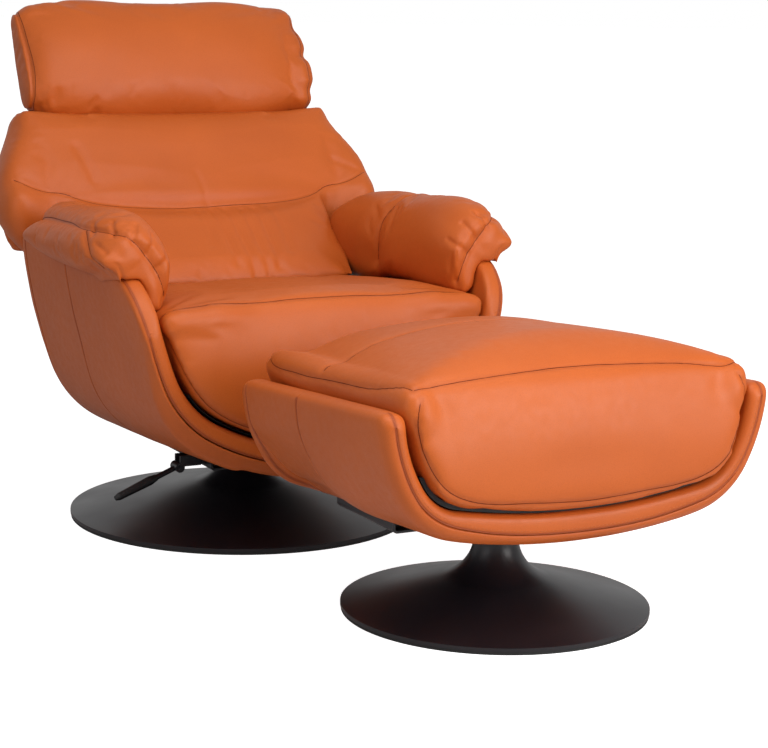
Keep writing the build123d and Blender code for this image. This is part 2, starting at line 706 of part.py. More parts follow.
cushion = back_layer(0.0, cushion_depth, 12.0, edge_bulge, 0.0)
panel = back_layer(panel_near, panel_far, 0.01, 0.01, 12.0)
rear_cover = back_layer(panel_far, panel_far + rear_cover_depth, 0.01, 6.0, 4.0)
stays = []
for side in (-1, 1):
    x0, x1 = side * stay_x - stay_thickness / 2, side * stay_x + stay_thickness / 2
    stays.append(stay(0.0, x0, x1) - rod_x(5.0 + running_gap, x0 - 1, x1 + 1, *hinge_spot))
    pocket = stay(1.2, x0 - 1.0, x1 + 1.0)
    cushion -= pocket
    panel -= stay(0.2, x0 - 0.2, x1 + 0.2)
    rear_cover -= stay(0.2, x0 - 0.2, x1 + 0.2)
nodes["headrest_stays"] = group(stays)

# arms of the back turn on pins in the shell's brackets; they lie in the cushion's sides
link_y, link_z = recline_y, recline_z - link_drop
link_radius = 8.0
pin_radius = 9.0
bush_wall = 2.0
bracket_half, bracket_low = 20.0, 24.0  # the bracket's block beside and below the recline axis


def back_arm(grow, x0, x1):
    """Flat arm from the link tube to the recline pivot and on to the back's panel."""
    elbow = (recline_y + 74.0, recline_z - 2.0)
    foot = back_spot(0.30, panel_near + 4)
    lower = link_plate([(link_y, link_z, 16.0 + grow), (recline_y, recline_z, 22.0 + grow)], x0, x1)
    return lower + link_plate([(recline_y, recline_z, 22.0 + grow), (*elbow, 20.0 + grow),
                               (*foot, 18.0 + grow)], x0, x1)


arm_room = back_arm(3.0, arm_inner - 3.0, 300.0)
arm_slot = back_arm(0.2, arm_inner - 0.2, arm_outer + 0.2)
bracket_room = rod_x(hypot(bracket_half, bracket_low) + 3.0, arm_outer, 300.0, recline_y, recline_z)
cushion -= arm_room + arm_room.mirror(Plane.YZ)
cushion -= bracket_room + bracket_room.mirror(Plane.YZ)
panel -= arm_slot + arm_slot.mirror(Plane.YZ)
rear_cover -= arm_slot + arm_slot.mirror(Plane.YZ)
nodes["back_cushion"] = cushion
nodes["back_panel"] = panel
nodes["back_rear_cover"] = rear_cover
arm = back_arm(0.0, arm_inner, arm_outer)
arm -= rod_x(pin_radius + bush_wall, arm_inner - 1, arm_outer + 1, recline_y, recline_z)
arm -= rod_x(link_radius, arm_inner - 1, arm_outer + 1, link_y, link_z)
bush = rod_x(pin_radius + bush_wall, arm_inner, arm_outer, recline_y, recline_z)
bush += rod_x(pin_radius + bush_wall + 3, arm_outer, arm_outer + 1.5, recline_y, recline_z)
bush -= rod_x(pin_radius + running_gap, arm_inner - 1, arm_outer + 3, recline_y, recline_z)
nodes["back_arms"] = both_sides(arm)
nodes["recline_bushes"] = both_sides(bush)
nodes["link_tube"] = (rod_x(link_radius, -arm_outer, arm_outer, link_y, link_z)
                      - rod_x(link_radius - 2, -arm_outer - 1, arm_outer + 1, link_y, link_z))
bracket_plate = arm_outer + 1.5 + seat_gap


def recline_bracket():
    """Upright plate with a pin, on a block that is seated on the shell's side."""
    front, rear = recline_y - bracket_half, recline_y + bracket_half
    low, high = recline_z - bracket_low, recline_z + bracket_half
    outline = side_face([(front, low), (rear, low), (rear, high), (front, high)])
    base = across(outline, 60, bracket_plate + 60)
    inner_wall = trough(shell_curve, shell_thickness + seat_gap, 0.0, 700.0, 0.0,
                        shell_front, shell_rear, shell_slope)
    pin = rod_x(pin_radius, arm_inner - 3.0, bracket_plate + 2, recline_y, recline_z)
    return (base & inner_wall) + pin


nodes["recline_brackets"] = both_sides(recline_bracket())


def link_slots():
    """Two plates behind the seat board; each has a slot for the link tube."""
    half_slot = link_radius + 1.4
    rise = 11.0
    low, high = link_z - half_slot - 9, link_z + half_slot + rise + 9
    front, under = board_rear - 44, board_top - board_thickness
    shelf = seat_level(under, front)
    rear, neck = link_y + half_slot + 9, seat_back + 5
    plate = side_face([(front, shelf), (front, shelf - 12), (board_rear, shelf - 12), (link_y, low),
                       (rear, low), (rear, high), (neck, high), (neck, seat_level(under, neck))])
    slot = SlotOverall(2 * half_slot + rise, 2 * half_slot, rotation=90)
    slot = Plane.YZ * Pos(link_y, link_z + rise / 2) * slot
    return [Pos(x - 2.5, 0, 0) * extrude(plate - slot, 5.0, dir=(1, 0, 0)) for x in (-180.0, 180.0)]


nodes["link_plates"] = group(link_slots())


# ---- headrest, a bolster that turns on the stays
def hinge_arc(start, through, end):
    """Arc in the Y-Z plane through points given as (up, out) from the hinge line."""
    return ThreePointArc(from_hinge(*start), from_hinge(*through), from_hinge(*end))


def headrest_section(x, scale, crown):
    """Closed section: round bottom about the hinge line, crowned front, rounded top."""
    low = headrest_radius * scale
    high = headrest_top_radius * scale
    top = headrest_height * (0.86 + 0.14 * scale)
    turn = cos(pi / 4)
    edges = [hinge_arc((0, low), (-low * turn, low * turn), (-low, 0)),
             hinge_arc((-low, 0), (-low * turn, -low * turn), (0, -low)),
             hinge_arc((0, -low), (top / 2, -(low + high) / 2 - crown), (top, -high)),
             hinge_arc((top, -high), (top + high * turn, -high * turn), (top + high, 0)),
             hinge_arc((top + high, 0), (top + high * turn, high * turn), (top, high)),
             hinge_arc((top, high), (top / 2, (low + high) / 2 + 2), (0, low))]
    return Pos(x, 0, 0) * make_face(Plane.YZ * Wire(edges))


headrest_stations = [(-1.0, 0.72, 2.0), (-0.86, 0.93, 8.0), (0.0, 1.0, 12.0), (0.86, 0.93, 8.0),
                     (1.0, 0.72, 2.0)]
headrest = loft([headrest_section(share * headrest_half, scale, crown)
                 for share, scale, crown in headrest_stations])
leaf_gap = stay_thickness / 2 + seat_gap
leaf_thickness = 4.0
board_low, board_high = 34.0, 132.0


def hinge_leaf(x0, grow):
    """Flat leaf beside a stay, from the hinge line up to the headrest's board."""
    ends = [(*hinge_spot, 13.0 + grow), (*from_hinge(board_low + 40, 0.0), 9.0 + grow)]
    return link_plate(ends, x0 - grow, x0 + leaf_thickness + grow)


leaves, pins = [], []
headrest_board = across(make_face(Plane.YZ * Polyline(
    from_hinge(board_low, 9.0), from_hinge(board_high, 9.0), from_hinge(board_high, 19.0),
    from_hinge(board_low, 19.0), close=True)), headrest_half - 46)
headrest -= headrest_board
for side in (-1, 1):
    middle = side * stay_x
    for x0 in (middle - leaf_gap - leaf_thickness, middle + leaf_gap):
        leaf = hinge_leaf(x0, 0.0) - rod_x(5.0, x0 - 1, x0 + leaf_thickness + 1, *hinge_spot)
        leaves.append(leaf - across(make_face(Plane.YZ * Polyline(
            from_hinge(board_low - 1, 9.0), from_hinge(board_high, 9.0), from_hinge(board_high, 60.0),
            from_hinge(board_low - 1, 60.0), close=True)), 400))
    reach = leaf_gap + leaf_thickness
    pins.append(rod_x(5.0, middle - reach, middle + reach, *hinge_spot))
    headrest -= hinge_leaf(middle - reach, 0.4) + hinge_leaf(middle + leaf_gap, 0.4)
    headrest -= rod_x(15.0, middle - reach - 0.6, middle + reach + 0.6, *hinge_spot)
    sweep = [from_hinge(-90, -26), from_hinge(-60, 66), from_hinge(0, 100),
             from_hinge(30, 60), from_hinge(24, 8), from_hinge(16, -15), from_hinge(-6, -17)]
    headrest -= across(make_face(Plane.YZ * Polyline(*sweep, close=True)), leaf_gap + 1.0, middle)
nodes["headrest_cushion"] = headrest
nodes["headrest_board"] = headrest_board
nodes["headrest_leaves"] = group(leaves)
nodes["headrest_pins"] = group(pins)


# ---- arm cushions, which sit astride the shell's upper edge
def arm_section(y, inner, outer, skirt_in, skirt_out, top):
    """Front-view section of an arm cushion for the +X side; heights are above the shell's front top."""
    skirt_in, skirt_out, top = (shell_top_front + height for height in (skirt_in, skirt_out, top))
    rim_in, rim_out = (inner + 16, top - 26), (outer - 14, top - 30)
    edges = [Line((inner + 14, skirt_in), (inner, skirt_in + 18)),
             ThreePointArc((inner, skirt_in + 18), (inner - 8, (skirt_in + top) / 2), rim_in),
             ThreePointArc(rim_in, ((inner + outer) / 2, top), rim_out),
             ThreePointArc(rim_out, (outer + 2, (skirt_out + top) / 2 + 6), (outer - 12, skirt_out)),
             Line((outer - 12, skirt_out), (inner + 14, skirt_in))]
    return Pos(0, y, 0) * make_face(Plane.XZ * Wire(edges))


arm_stations = [
    (pillow_end, 286.0, 380.0, -49.0, 1.0, 55.0),
    (86.0, 272.0, 397.0, -61.0, -8.0, 83.0),
    (-130.0, 270.0, 403.0, -51.0, -11.0, 94.0),
    (-262.0, 270.0, 400.0, -49.0, -19.0, 93.0),
    (-322.0, 284.0, 382.0, -41.0, -31.0, 61.0),
]
shell_inside = trough(shell_curve, shell_thickness + soft_gap, 0.0, 720.0, 0.0,
                      shell_front - 6, shell_rear + 6, shell_slope)
shell_side = side_outline(shell_front - soft_gap, shell_rear + soft_gap, shell_top_front + soft_gap,
                          shell_top_rear + soft_gap, shell_front_corner, shell_rear_corner)
shell_grown = (shell_block - shell_inside) & across(shell_side, 420)
arm_cushion = loft([arm_section(*station) for station in arm_stations]) - shell_grown
arm_cushion = arm_cushion.solids().sort_by(SortBy.VOLUME)[-1]
nodes["arm_cushion_left"] = arm_cushion
nodes["arm_cushion_right"] = arm_cushion.mirror(Plane.YZ)


# ============================================================ ottoman's pieces
ottoman_tray_low = 138.0
ottoman_pieces, _ = pedestal(
    "ottoman_", ottoman_dish_radius, ottoman_cone_angle,
    flare_centre(ottoman_dish_radius, ottoman_cone_angle) + 2.0, ottoman_tray_low, False)
ottoman_outside, ottoman_plywood, ottoman_lining = upholstered_shell(
    ottoman_curve, ottoman_thickness, ottoman_slope, ottoman_front, ottoman_rear,
    (ottoman_top, ottoman_top - ottoman_slope * (ottoman_rear - ottoman_front)),
    (ottoman_corner, ottoman_corner))
ottoman_pieces["ottoman_outer_leather"] = ottoman_outside
ottoman_pieces["ottoman_plywood"] = ottoman_plywood
ottoman_pieces["ottoman_inner_leather"] = ottoman_lining


# tray under the shell, bolted to the fixed column; its front is narrower
ottoman_tray_half = 180.0
ottoman_nose_half = 100.0
ottoman_nose_rear = 15.0
ottoman_block = trough(ottoman_curve, -soft_gap, 0.0, 600.0, 0.0, ottoman_front - 5, ottoman_rear + 5,
                       ottoman_slope)
tray, saddles, bolts = tray_and_saddles(
    ottoman_tray_half, -52.0, 215.0, ottoman_tray_low, ottoman_block, (54.0, 176.0))
shoulder = block(ottoman_nose_half, ottoman_tray_half + 5, -60, ottoman_nose_rear,
                 ottoman_tray_low - 5, ottoman_tray_low + 100)
tray -= shoulder + shoulder.mirror(Plane.YZ)
column = ottoman_pieces["ottoman_column"]
for place in PolarLocations(hub_radius - 12, 4, 45):
    x, y = place.position.X, place.position.Y
    hole = disc(bolt_radius + 0.2, ottoman_tray_low - 12, ottoman_tray_low + tray_sheet + 1, x, y)
    tray -= hole
    column -= hole
    head = Pos(x, y, ottoman_tray_low + tray_sheet) * extrude(RegularPolygon(6.5, 6), 4.0)
    bolts.append(head + disc(bolt_radius, ottoman_tray_low - 9, ottoman_tray_low + tray_sheet + 1, x, y))
ottoman_pieces["ottoman_column"] = column
ottoman_pieces["ottoman_tray"] = tray
ottoman_pieces["ottoman_saddles"] = group(saddles)
ottoman_pieces["ottoman_tray_bolts"] = group(bolts)

# black moulded pan in the shell, and the cushion in the pan
pan_wall = 7.0
pan_inset = ottoman_thickness + soft_gap
ottoman_seam = 414.0
ottoman_crown = 58.0


def ottoman_trough(inset, rise, lid, crown, front, rear):
    """Filling of the ottoman's shell between two places; heights are at the shell's front."""
    start = ottoman_front - 30.0
    lift = ottoman_slope * (ottoman_front - start)
    whole = trough(ottoman_curve, inset, rise + lift, lid + lift, crown,
                   start, ottoman_rear + 30, ottoman_slope)
    return whole & block(-600, 600, front, rear, 0, 900)


pan = (ottoman_trough(pan_inset, 0.0, ottoman_seam - 120.0, 0.0, ottoman_front + 14, ottoman_rear - 14)
       - ottoman_trough(pan_inset + pan_wall, 0.0, ottoman_seam, 0.0, ottoman_front, ottoman_rear))
ottoman_pieces["ottoman_pan"] = pan


def ottoman_cushion():
    """Deep cushion with a crowned top and rounded faces front and rear."""
    body = ottoman_trough(pan_inset + pan_wall + soft_gap, 0.0, ottoman_seam, ottoman_crown,
                          ottoman_front - 25, ottoman_rear + 25)
    low, high = 120.0, ottoman_seam     # low lies below the cushion
    seam_front, seam_rear = ottoman_front + 20, ottoman_rear - 14
    rear_high = high - ottoman_slope * (seam_rear - seam_front)
    shape = [ThreePointArc((seam_front + 6, low), (ottoman_front - 12, 320), (seam_front, high)),
             ThreePointArc((seam_front, high), (-40, high + ottoman_crown + 4), (seam_rear, rear_high)),
             ThreePointArc((seam_rear, rear_high), (ottoman_rear + 8, 290), (seam_rear - 6, low)),
             Line((seam_rear - 6, low), (seam_front + 6, low))]
    return body & across(make_face(Plane.YZ * Wire(shape)), 500)


ottoman_pieces["ottoman_cushion"] = ottoman_cushion()
for name, piece in ottoman_pieces.items():
    nodes[name] = piece.moved(Pos(*ottoman_place, 0))

os.makedirs("parts", exist_ok=True)
for name, piece in nodes.items():
    export_step(piece, "parts/" + name + ".step")
print(len(nodes), "nodes written")
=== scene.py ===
import json
from time import time
from math import atan2, cos, exp, hypot, pi, radians, sin, sqrt

import bmesh
import bpy
from mathutils import Matrix, Vector, kdtree, noise
from mathutils.bvhtree import BVHTree


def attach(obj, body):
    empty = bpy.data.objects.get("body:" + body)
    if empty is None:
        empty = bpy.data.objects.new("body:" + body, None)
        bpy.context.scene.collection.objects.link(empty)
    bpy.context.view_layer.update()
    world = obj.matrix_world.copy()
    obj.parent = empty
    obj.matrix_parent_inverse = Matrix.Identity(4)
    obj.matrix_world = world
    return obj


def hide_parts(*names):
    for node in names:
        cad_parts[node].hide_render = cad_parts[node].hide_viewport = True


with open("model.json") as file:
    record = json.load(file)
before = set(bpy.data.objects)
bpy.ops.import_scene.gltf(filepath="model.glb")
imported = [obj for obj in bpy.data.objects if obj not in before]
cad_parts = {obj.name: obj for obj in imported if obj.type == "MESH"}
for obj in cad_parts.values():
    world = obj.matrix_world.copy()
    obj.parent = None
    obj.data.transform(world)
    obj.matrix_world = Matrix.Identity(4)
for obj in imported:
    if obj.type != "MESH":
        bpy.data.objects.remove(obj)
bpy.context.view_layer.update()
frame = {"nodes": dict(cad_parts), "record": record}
mm = 0.001
print("frame loaded")


# camera, lights and floor
camera = dict(
    place=(-1572, -3574, 982),      # mm, as the photo was taken
    aim=(0.4566, 0.8713, -0.1801),
    roll=0.95,                      # degrees
    lens=98.44,                     # on a 36 mm sensor
)
lamps = dict(
    key=dict(place=(1200, -3000, 1250), size=1500, watts=50, tint=(1.0, 0.985, 0.965)),
    top=dict(place=(-100, -1300, 2000), size=1700, watts=26, tint=(1.0, 1.0, 1.0)),
    left=dict(place=(-3000, -1500, 1700), size=2000, watts=17, tint=(0.97, 0.98, 1.0)),
)
lampTarget = (0, -350, 420)
worldLight = 0.28           # on the object
glossLight = 0.6            # in its reflections
white = (1, 1, 1, 1)        # what the camera sees behind it
floorTint = (0.72, 0.72, 0.725, 1)
floorGlow = 0.9             # for the camera only


def makeCamera():
    data = bpy.data.cameras.new("camera")
    data.lens = camera["lens"]
    data.sensor_width = 36
    data.clip_end = 60
    eye = bpy.data.objects.new("camera", data)
    bpy.context.collection.objects.link(eye)
    aim = Vector(camera["aim"]).normalized()
    level = aim.cross(Vector((0, 0, 1))).normalized()
    upright = level.cross(aim)
    tilt = radians(camera["roll"])
    right = level * cos(tilt) + upright * sin(tilt)
    up = right.cross(aim)
    turn = Matrix((right, up, -aim)).transposed().to_4x4()
    eye.matrix_world = Matrix.Translation(Vector(camera["place"]) * mm) @ turn
    bpy.context.scene.camera = eye


def makeLamps():
    target = Vector(lampTarget) * mm
    for name, lamp in lamps.items():
        data = bpy.data.lights.new(name, "AREA")
        data.size = lamp["size"] * mm
        data.energy = lamp["watts"]
        data.color = lamp["tint"]
        light = bpy.data.objects.new(name, data)
        bpy.context.collection.objects.link(light)
        place = Vector(lamp["place"]) * mm
        light.location = place
        light.rotation_euler = (target - place).to_track_quat("-Z", "Y").to_euler()
    world = bpy.data.worlds.new("studio")
    bpy.context.scene.world = world
    world.use_nodes = True
    nodes, links = world.node_tree.nodes, world.node_tree.links
    nodes["Background"].inputs["Color"].default_value = white
    nodes["Background"].inputs["Strength"].default_value = worldLight
    plain = nodes.new("ShaderNodeBackground")
    plain.inputs["Color"].default_value = white
    path = nodes.new("ShaderNodeLightPath")
    mix = nodes.new("ShaderNodeMixShader")
    links.new(path.outputs["Is Camera Ray"], mix.inputs[0])
    soft = nodes.new("ShaderNodeBackground")
    soft.inputs["Color"].default_value = white
    soft.inputs["Strength"].default_value = glossLight
    shine = nodes.new("ShaderNodeMixShader")
    links.new(path.outputs["Is Glossy Ray"], shine.inputs[0])
    links.new(nodes["Background"].outputs[0], shine.inputs[1])
    links.new(soft.outputs[0], shine.inputs[2])
    links.new(shine.outputs[0], mix.inputs[1])
    links.new(plain.outputs[0], mix.inputs[2])
    links.new(mix.outputs[0], nodes["World Output"].inputs["Surface"])


def makeFloor():
    ground = bmesh.new()
    bmesh.ops.create_grid(ground, x_segments=1, y_segments=1, size=400)
    mesh = bpy.data.meshes.new("floor")
    ground.to_mesh(mesh)
    ground.free()
    floor = bpy.data.objects.new("floor", mesh)
    bpy.context.collection.objects.link(floor)
    mat = bpy.data.materials.new("floor")
    mat.use_nodes = True
    nodes, links = mat.node_tree.nodes, mat.node_tree.links
    paint = nodes["Principled BSDF"]
    paint.inputs["Base Color"].default_value = floorTint
    paint.inputs["Roughness"].default_value = 0.9
    glow = nodes.new("ShaderNodeEmission")
    glow.inputs["Strength"].default_value = floorGlow
    path = nodes.new("ShaderNodeLightPath")
    gain = nodes.new("ShaderNodeMixShader")
    both = nodes.new("ShaderNodeAddShader")
    links.new(paint.outputs[0], both.inputs[0])
    links.new(glow.outputs[0], both.inputs[1])
    links.new(path.outputs["Is Camera Ray"], gain.inputs[0])
    links.new(paint.outputs[0], gain.inputs[1])
    links.new(both.outputs[0], gain.inputs[2])
    links.new(gain.outputs[0], nodes["Material Output"].inputs["Surface"])
    mesh.materials.append(mat)


bpy.context.scene.view_settings.view_transform = "Standard"
makeCamera()
makeLamps()
makeFloor()
print("studio ready")


# shader groups, shared by the finishes
def newGroup(name, takes, gives):
    tree = bpy.data.node_groups.new(name, "ShaderNodeTree")
    for label, kind, value in takes:
        socket = tree.interface.new_socket(label, in_out="INPUT", socket_type=kind)
        socket.default_value = value
    for label, kind in gives:
        tree.interface.new_socket(label, in_out="OUTPUT", socket_type=kind)
    return tree, tree.nodes.new("NodeGroupInput"), tree.nodes.new("NodeGroupOutput")


def mathNode(tree, operation, first, second):
    node = tree.nodes.new("ShaderNodeMath")
    node.operation = operation
    for socket, value in zip(node.inputs, (first, second)):
        if isinstance(value, (int, float)):
            socket.default_value = value
        else:
            tree.links.new(value, socket)
    return node.outputs[0]


def noiseNode(tree, where, scale, detail, rough=0.55):
    node = tree.nodes.new("ShaderNodeTexNoise")
    tree.links.new(where, node.inputs["Vector"])
    node.inputs["Scale"].default_value = scale
    node.inputs["Detail"].default_value = detail
    node.inputs["Roughness"].default_value = rough
    return node.outputs["Fac"]


def rangeNode(tree, value, low, high, outLow, outHigh):
    node = tree.nodes.new("ShaderNodeMapRange")
    tree.links.new(value, node.inputs["Value"])
    for label, number in (("From Min", low), ("From Max", high), ("To Min", outLow), ("To Max", outHigh)):
        node.inputs[label].default_value = number
    return node.outputs["Result"]


def mixTint(tree, share, first, second):
    node = tree.nodes.new("ShaderNodeMix")
    node.data_type = "RGBA"
    for label, value in (("Factor", share), ("A", first), ("B", second)):
        socket = node.inputs[label]
        if hasattr(value, "is_output"):
            tree.links.new(value, socket)
        else:
            socket.default_value = value
    return node.outputs["Result"]


def makeHideGroup():
    # pebbled hide: tint, roughness and relief, with painted shade along its seams
    tree, goesIn, comesOut = newGroup(
        "hideGrain",
        [("Tint", "NodeSocketColor", (0.5, 0.1, 0.03, 1)),
         ("Deep", "NodeSocketColor", (0.2, 0.03, 0.01, 1)),
         ("Pebbles", "NodeSocketFloat", 900.0),
         ("Seam", "NodeSocketFloat", 0.0)],
        [("Color", "NodeSocketColor"), ("Roughness", "NodeSocketFloat"), ("Height", "NodeSocketFloat")])
    place = tree.nodes.new("ShaderNodeTexCoord").outputs["Object"]
    cells = tree.nodes.new("ShaderNodeTexVoronoi")
    cells.feature = "SMOOTH_F1"
    tree.links.new(place, cells.inputs["Vector"])
    tree.links.new(goesIn.outputs["Pebbles"], cells.inputs["Scale"])
    pebble = rangeNode(tree, cells.outputs["Distance"], 0.0, 0.75, 1.0, 0.0)
    pores = noiseNode(tree, place, 2600.0, 2.0)
    clouds = noiseNode(tree, place, 5.5, 3.0, 0.5)
    creases = noiseNode(tree, place, 70.0, 4.0, 0.6)
    wide = rangeNode(tree, clouds, 0.3, 0.7, 0.0, 0.16)
    tone = mixTint(tree, wide, goesIn.outputs["Tint"], goesIn.outputs["Deep"])
    fine = rangeNode(tree, pebble, 0.1, 0.6, 0.14, 0.0)
    tone = mixTint(tree, fine, tone, goesIn.outputs["Deep"])
    # painted shade: the seam mask darkens the tint towards the deep colour in each seam's groove
    tone = mixTint(tree, goesIn.outputs["Seam"], tone, goesIn.outputs["Deep"])
    tree.links.new(tone, comesOut.inputs["Color"])
    polish = rangeNode(tree, creases, 0.3, 0.7, 0.40, 0.50)
    tree.links.new(polish, comesOut.inputs["Roughness"])
    relief = mathNode(tree, "MULTIPLY", pebble, 0.55)
    relief = mathNode(tree, "ADD", relief, mathNode(tree, "MULTIPLY", pores, 0.2))
    relief = mathNode(tree, "ADD", relief, mathNode(tree, "MULTIPLY", creases, 0.55))
    tree.links.new(relief, comesOut.inputs["Height"])
    return tree


def makeSpeckGroup():
    # fine uneven surface of paint, cast or rubbed metal and moulded plastic
    tree, goesIn, comesOut = newGroup(
        "fineSpeck",
        [("Tint", "NodeSocketColor", (0.01, 0.01, 0.01, 1)),
         ("Dust", "NodeSocketColor", (0.05, 0.05, 0.05, 1)),
         ("Scale", "NodeSocketFloat", 700.0),
         ("Low", "NodeSocketFloat", 0.3),
         ("High", "NodeSocketFloat", 0.45)],
        [("Color", "NodeSocketColor"), ("Roughness", "NodeSocketFloat"), ("Height", "NodeSocketFloat")])
    place = tree.nodes.new("ShaderNodeTexCoord").outputs["Object"]
    grain = tree.nodes.new("ShaderNodeTexNoise")
    tree.links.new(place, grain.inputs["Vector"])
    tree.links.new(goesIn.outputs["Scale"], grain.inputs["Scale"])
    clouds = noiseNode(tree, place, 9.0, 3.0, 0.5)
    share = rangeNode(tree, clouds, 0.35, 0.75, 0.0, 0.35)
    tone = mixTint(tree, share, goesIn.outputs["Tint"], goesIn.outputs["Dust"])
    tree.links.new(tone, comesOut.inputs["Color"])
    spread = tree.nodes.new("ShaderNodeMapRange")
    tree.links.new(clouds, spread.inputs["Value"])
    spread.inputs["From Min"].default_value = 0.3
    spread.inputs["From Max"].default_value = 0.7
    tree.links.new(goesIn.outputs["Low"], spread.inputs["To Min"])
    tree.links.new(goesIn.outputs["High"], spread.inputs["To Max"])
    tree.links.new(spread.outputs["Result"], comesOut.inputs["Roughness"])
    tree.links.new(grain.outputs["Fac"], comesOut.inputs["Height"])
    return tree


hideGroup = makeHideGroup()
speckGroup = makeSpeckGroup()


def finishFrom(name, group, values, bump, sockets):
    # one material: its group's colour, roughness and relief on a principled shader;
    # bump is its strength and its depth in mm
    mat = bpy.data.materials.new(name)
    mat.use_nodes = True
    tree = mat.node_tree
    coat = tree.nodes["Principled BSDF"]
    source = tree.nodes.new("ShaderNodeGroup")
    source.node_tree = group
    for label, value in values.items():
        source.inputs[label].default_value = value
    tree.links.new(source.outputs["Color"], coat.inputs["Base Color"])
    tree.links.new(source.outputs["Roughness"], coat.inputs["Roughness"])
    relief = tree.nodes.new("ShaderNodeBump")
    relief.inputs["Strength"].default_value = bump[0]
    relief.inputs["Distance"].default_value = bump[1] * mm
    tree.links.new(source.outputs["Height"], relief.inputs["Height"])
    tree.links.new(relief.outputs["Normal"], coat.inputs["Normal"])
    for label, value in sockets.items():
        coat.inputs[label].default_value = value
    return mat, source


hide = dict(
    values=dict(Tint=(0.545, 0.112, 0.016, 1), Deep=(0.22, 0.030, 0.004, 1), Pebbles=850.0),
    bump=(0.35, 0.35),
    sockets={"IOR": 1.45, "Specular IOR Level": 0.34},
)


def makeHide(name, spec):
    mat, source = finishFrom(name, hideGroup, spec["values"], spec["bump"], spec["sockets"])
    # the seam attribute brings painted shade into the hide's seams
    mask = mat.node_tree.nodes.new("ShaderNodeAttribute")
    mask.attribute_name = "seam"
    mat.node_tree.links.new(mask.outputs["Fac"], source.inputs["Seam"])
    return mat


def makeSpeck(name, tint, dust, low, high, scale=700.0, bump=(0.15, 0.15), **sockets):
    # tint and the dust over it; low and high are the ends of its roughness
    values = dict(Tint=(*tint, 1), Dust=(*dust, 1), Scale=scale, Low=low, High=high)
    return finishFrom(name, speckGroup, values, bump, sockets)[0]


leather = makeHide("leather", hide)
thread = makeSpeck("thread", (0.46, 0.11, 0.02), (0.56, 0.16, 0.04), low=0.55, high=0.7,
                   scale=2500.0, bump=(0.4, 0.2))
# near-black cord for the cushions' seams: painted shade of each seam's groove
paintedSeamShade = makeSpeck("seamShade", (0.11, 0.014, 0.003), (0.17, 0.025, 0.006), low=0.6, high=0.75,
                     **{"Specular IOR Level": 0.15})
bandSeam = makeSpeck("bandSeam", (0.36, 0.066, 0.010), (0.42, 0.08, 0.015), low=0.55, high=0.7)
satinBlack = makeSpeck("satinBlack", (0.009, 0.0072, 0.0098), (0.02, 0.016, 0.021), low=0.3, high=0.38,
                       scale=900.0, bump=(0.12, 0.12))
steel = makeSpeck("steel", (0.36, 0.36, 0.38), (0.24, 0.24, 0.25), low=0.3, high=0.45,
                  scale=500.0, bump=(0.2, 0.1), Metallic=1.0)
plastic = makeSpeck("blackPlastic", (0.008, 0.008, 0.009), (0.018, 0.018, 0.02), low=0.45, high=0.6,
                    scale=1400.0, bump=(0.25, 0.2))
rubber = makeSpeck("rubber", (0.012, 0.012, 0.012), (0.03, 0.03, 0.03), low=0.7, high=0.85,
                   scale=1100.0, bump=(0.3, 0.25))
felt = makeSpeck("blackFelt", (0.006, 0.006, 0.007), (0.014, 0.014, 0.015), low=0.85, high=0.95,
                 scale=1800.0, bump=(0.6, 0.5))


def makePlywood():
    mat = bpy.data.materials.new("plywood")
    mat.use_nodes = True
    tree = mat.node_tree
    coat = tree.nodes["Principled BSDF"]
    place = tree.nodes.new("ShaderNodeTexCoord").outputs["Object"]
    stretch = tree.nodes.new("ShaderNodeMapping")
    stretch.inputs["Scale"].default_value = (14, 3, 90)
    tree.links.new(place, stretch.inputs["Vector"])
    grain = noiseNode(tree, stretch.outputs[0], 6.0, 6.0, 0.6)
    share = rangeNode(tree, grain, 0.35, 0.65, 0.0, 1.0)
    tint = mixTint(tree, share, (0.58, 0.40, 0.22, 1), (0.34, 0.20, 0.09, 1))
    tree.links.new(tint, coat.inputs["Base Color"])
    tree.links.new(rangeNode(tree, grain, 0.3, 0.7, 0.5, 0.68), coat.inputs["Roughness"])
    relief = tree.nodes.new("ShaderNodeBump")
    relief.inputs["Distance"].default_value = 0.2 * mm
    tree.links.new(grain, relief.inputs["Height"])
    tree.links.new(relief.outputs["Normal"], coat.inputs["Normal"])
    return mat


def makeWebbing():
    mat = bpy.data.materials.new("webbing")
    mat.use_nodes = True
    tree = mat.node_tree
    coat = tree.nodes["Principled BSDF"]
    place = tree.nodes.new("ShaderNodeTexCoord").outputs["Object"]
    waves = []
    for turn in ("X", "Y"):
        wave = tree.nodes.new("ShaderNodeTexWave")
        wave.bands_direction = turn
        wave.inputs["Scale"].default_value = 110.0
        tree.links.new(place, wave.inputs["Vector"])
        waves.append(wave.outputs["Fac"])
    weave = mathNode(tree, "MULTIPLY", *waves)
    tint = mixTint(tree, weave, (0.012, 0.012, 0.013, 1), (0.05, 0.05, 0.055, 1))
    tree.links.new(tint, coat.inputs["Base Color"])
    tree.links.new(rangeNode(tree, weave, 0.0, 1.0, 0.9, 0.75), coat.inputs["Roughness"])
    relief = tree.nodes.new("ShaderNodeBump")
    relief.inputs["Distance"].default_value = 0.4 * mm
    tree.links.new(weave, relief.inputs["Height"])
    tree.links.new(relief.outputs["Normal"], coat.inputs["Normal"])
    return mat


plywood = makePlywood()
webbing = makeWebbing()
slotFinish = dict(leather=leather, black_steel=satinBlack, steel=steel, plywood=plywood,
                  black_plastic=plastic, rubber=rubber, webbing=webbing)
for part in frame["record"]["subparts"]:
    node = frame["nodes"][part["node"]]
    node.data.materials.clear()
    node.data.materials.append(slotFinish[part["material_slot"]])
print("finishes ready")


# shaping tools
def newPiece(name, shape, finish):
    # an object from a bmesh, which is used up
    mesh = bpy.data.meshes.new(name)
    shape.to_mesh(mesh)
    shape.free()
    piece = bpy.data.objects.new(name, mesh)
    bpy.context.collection.objects.link(piece)
    mesh.materials.append(finish)
    mesh.shade_smooth()
    return piece


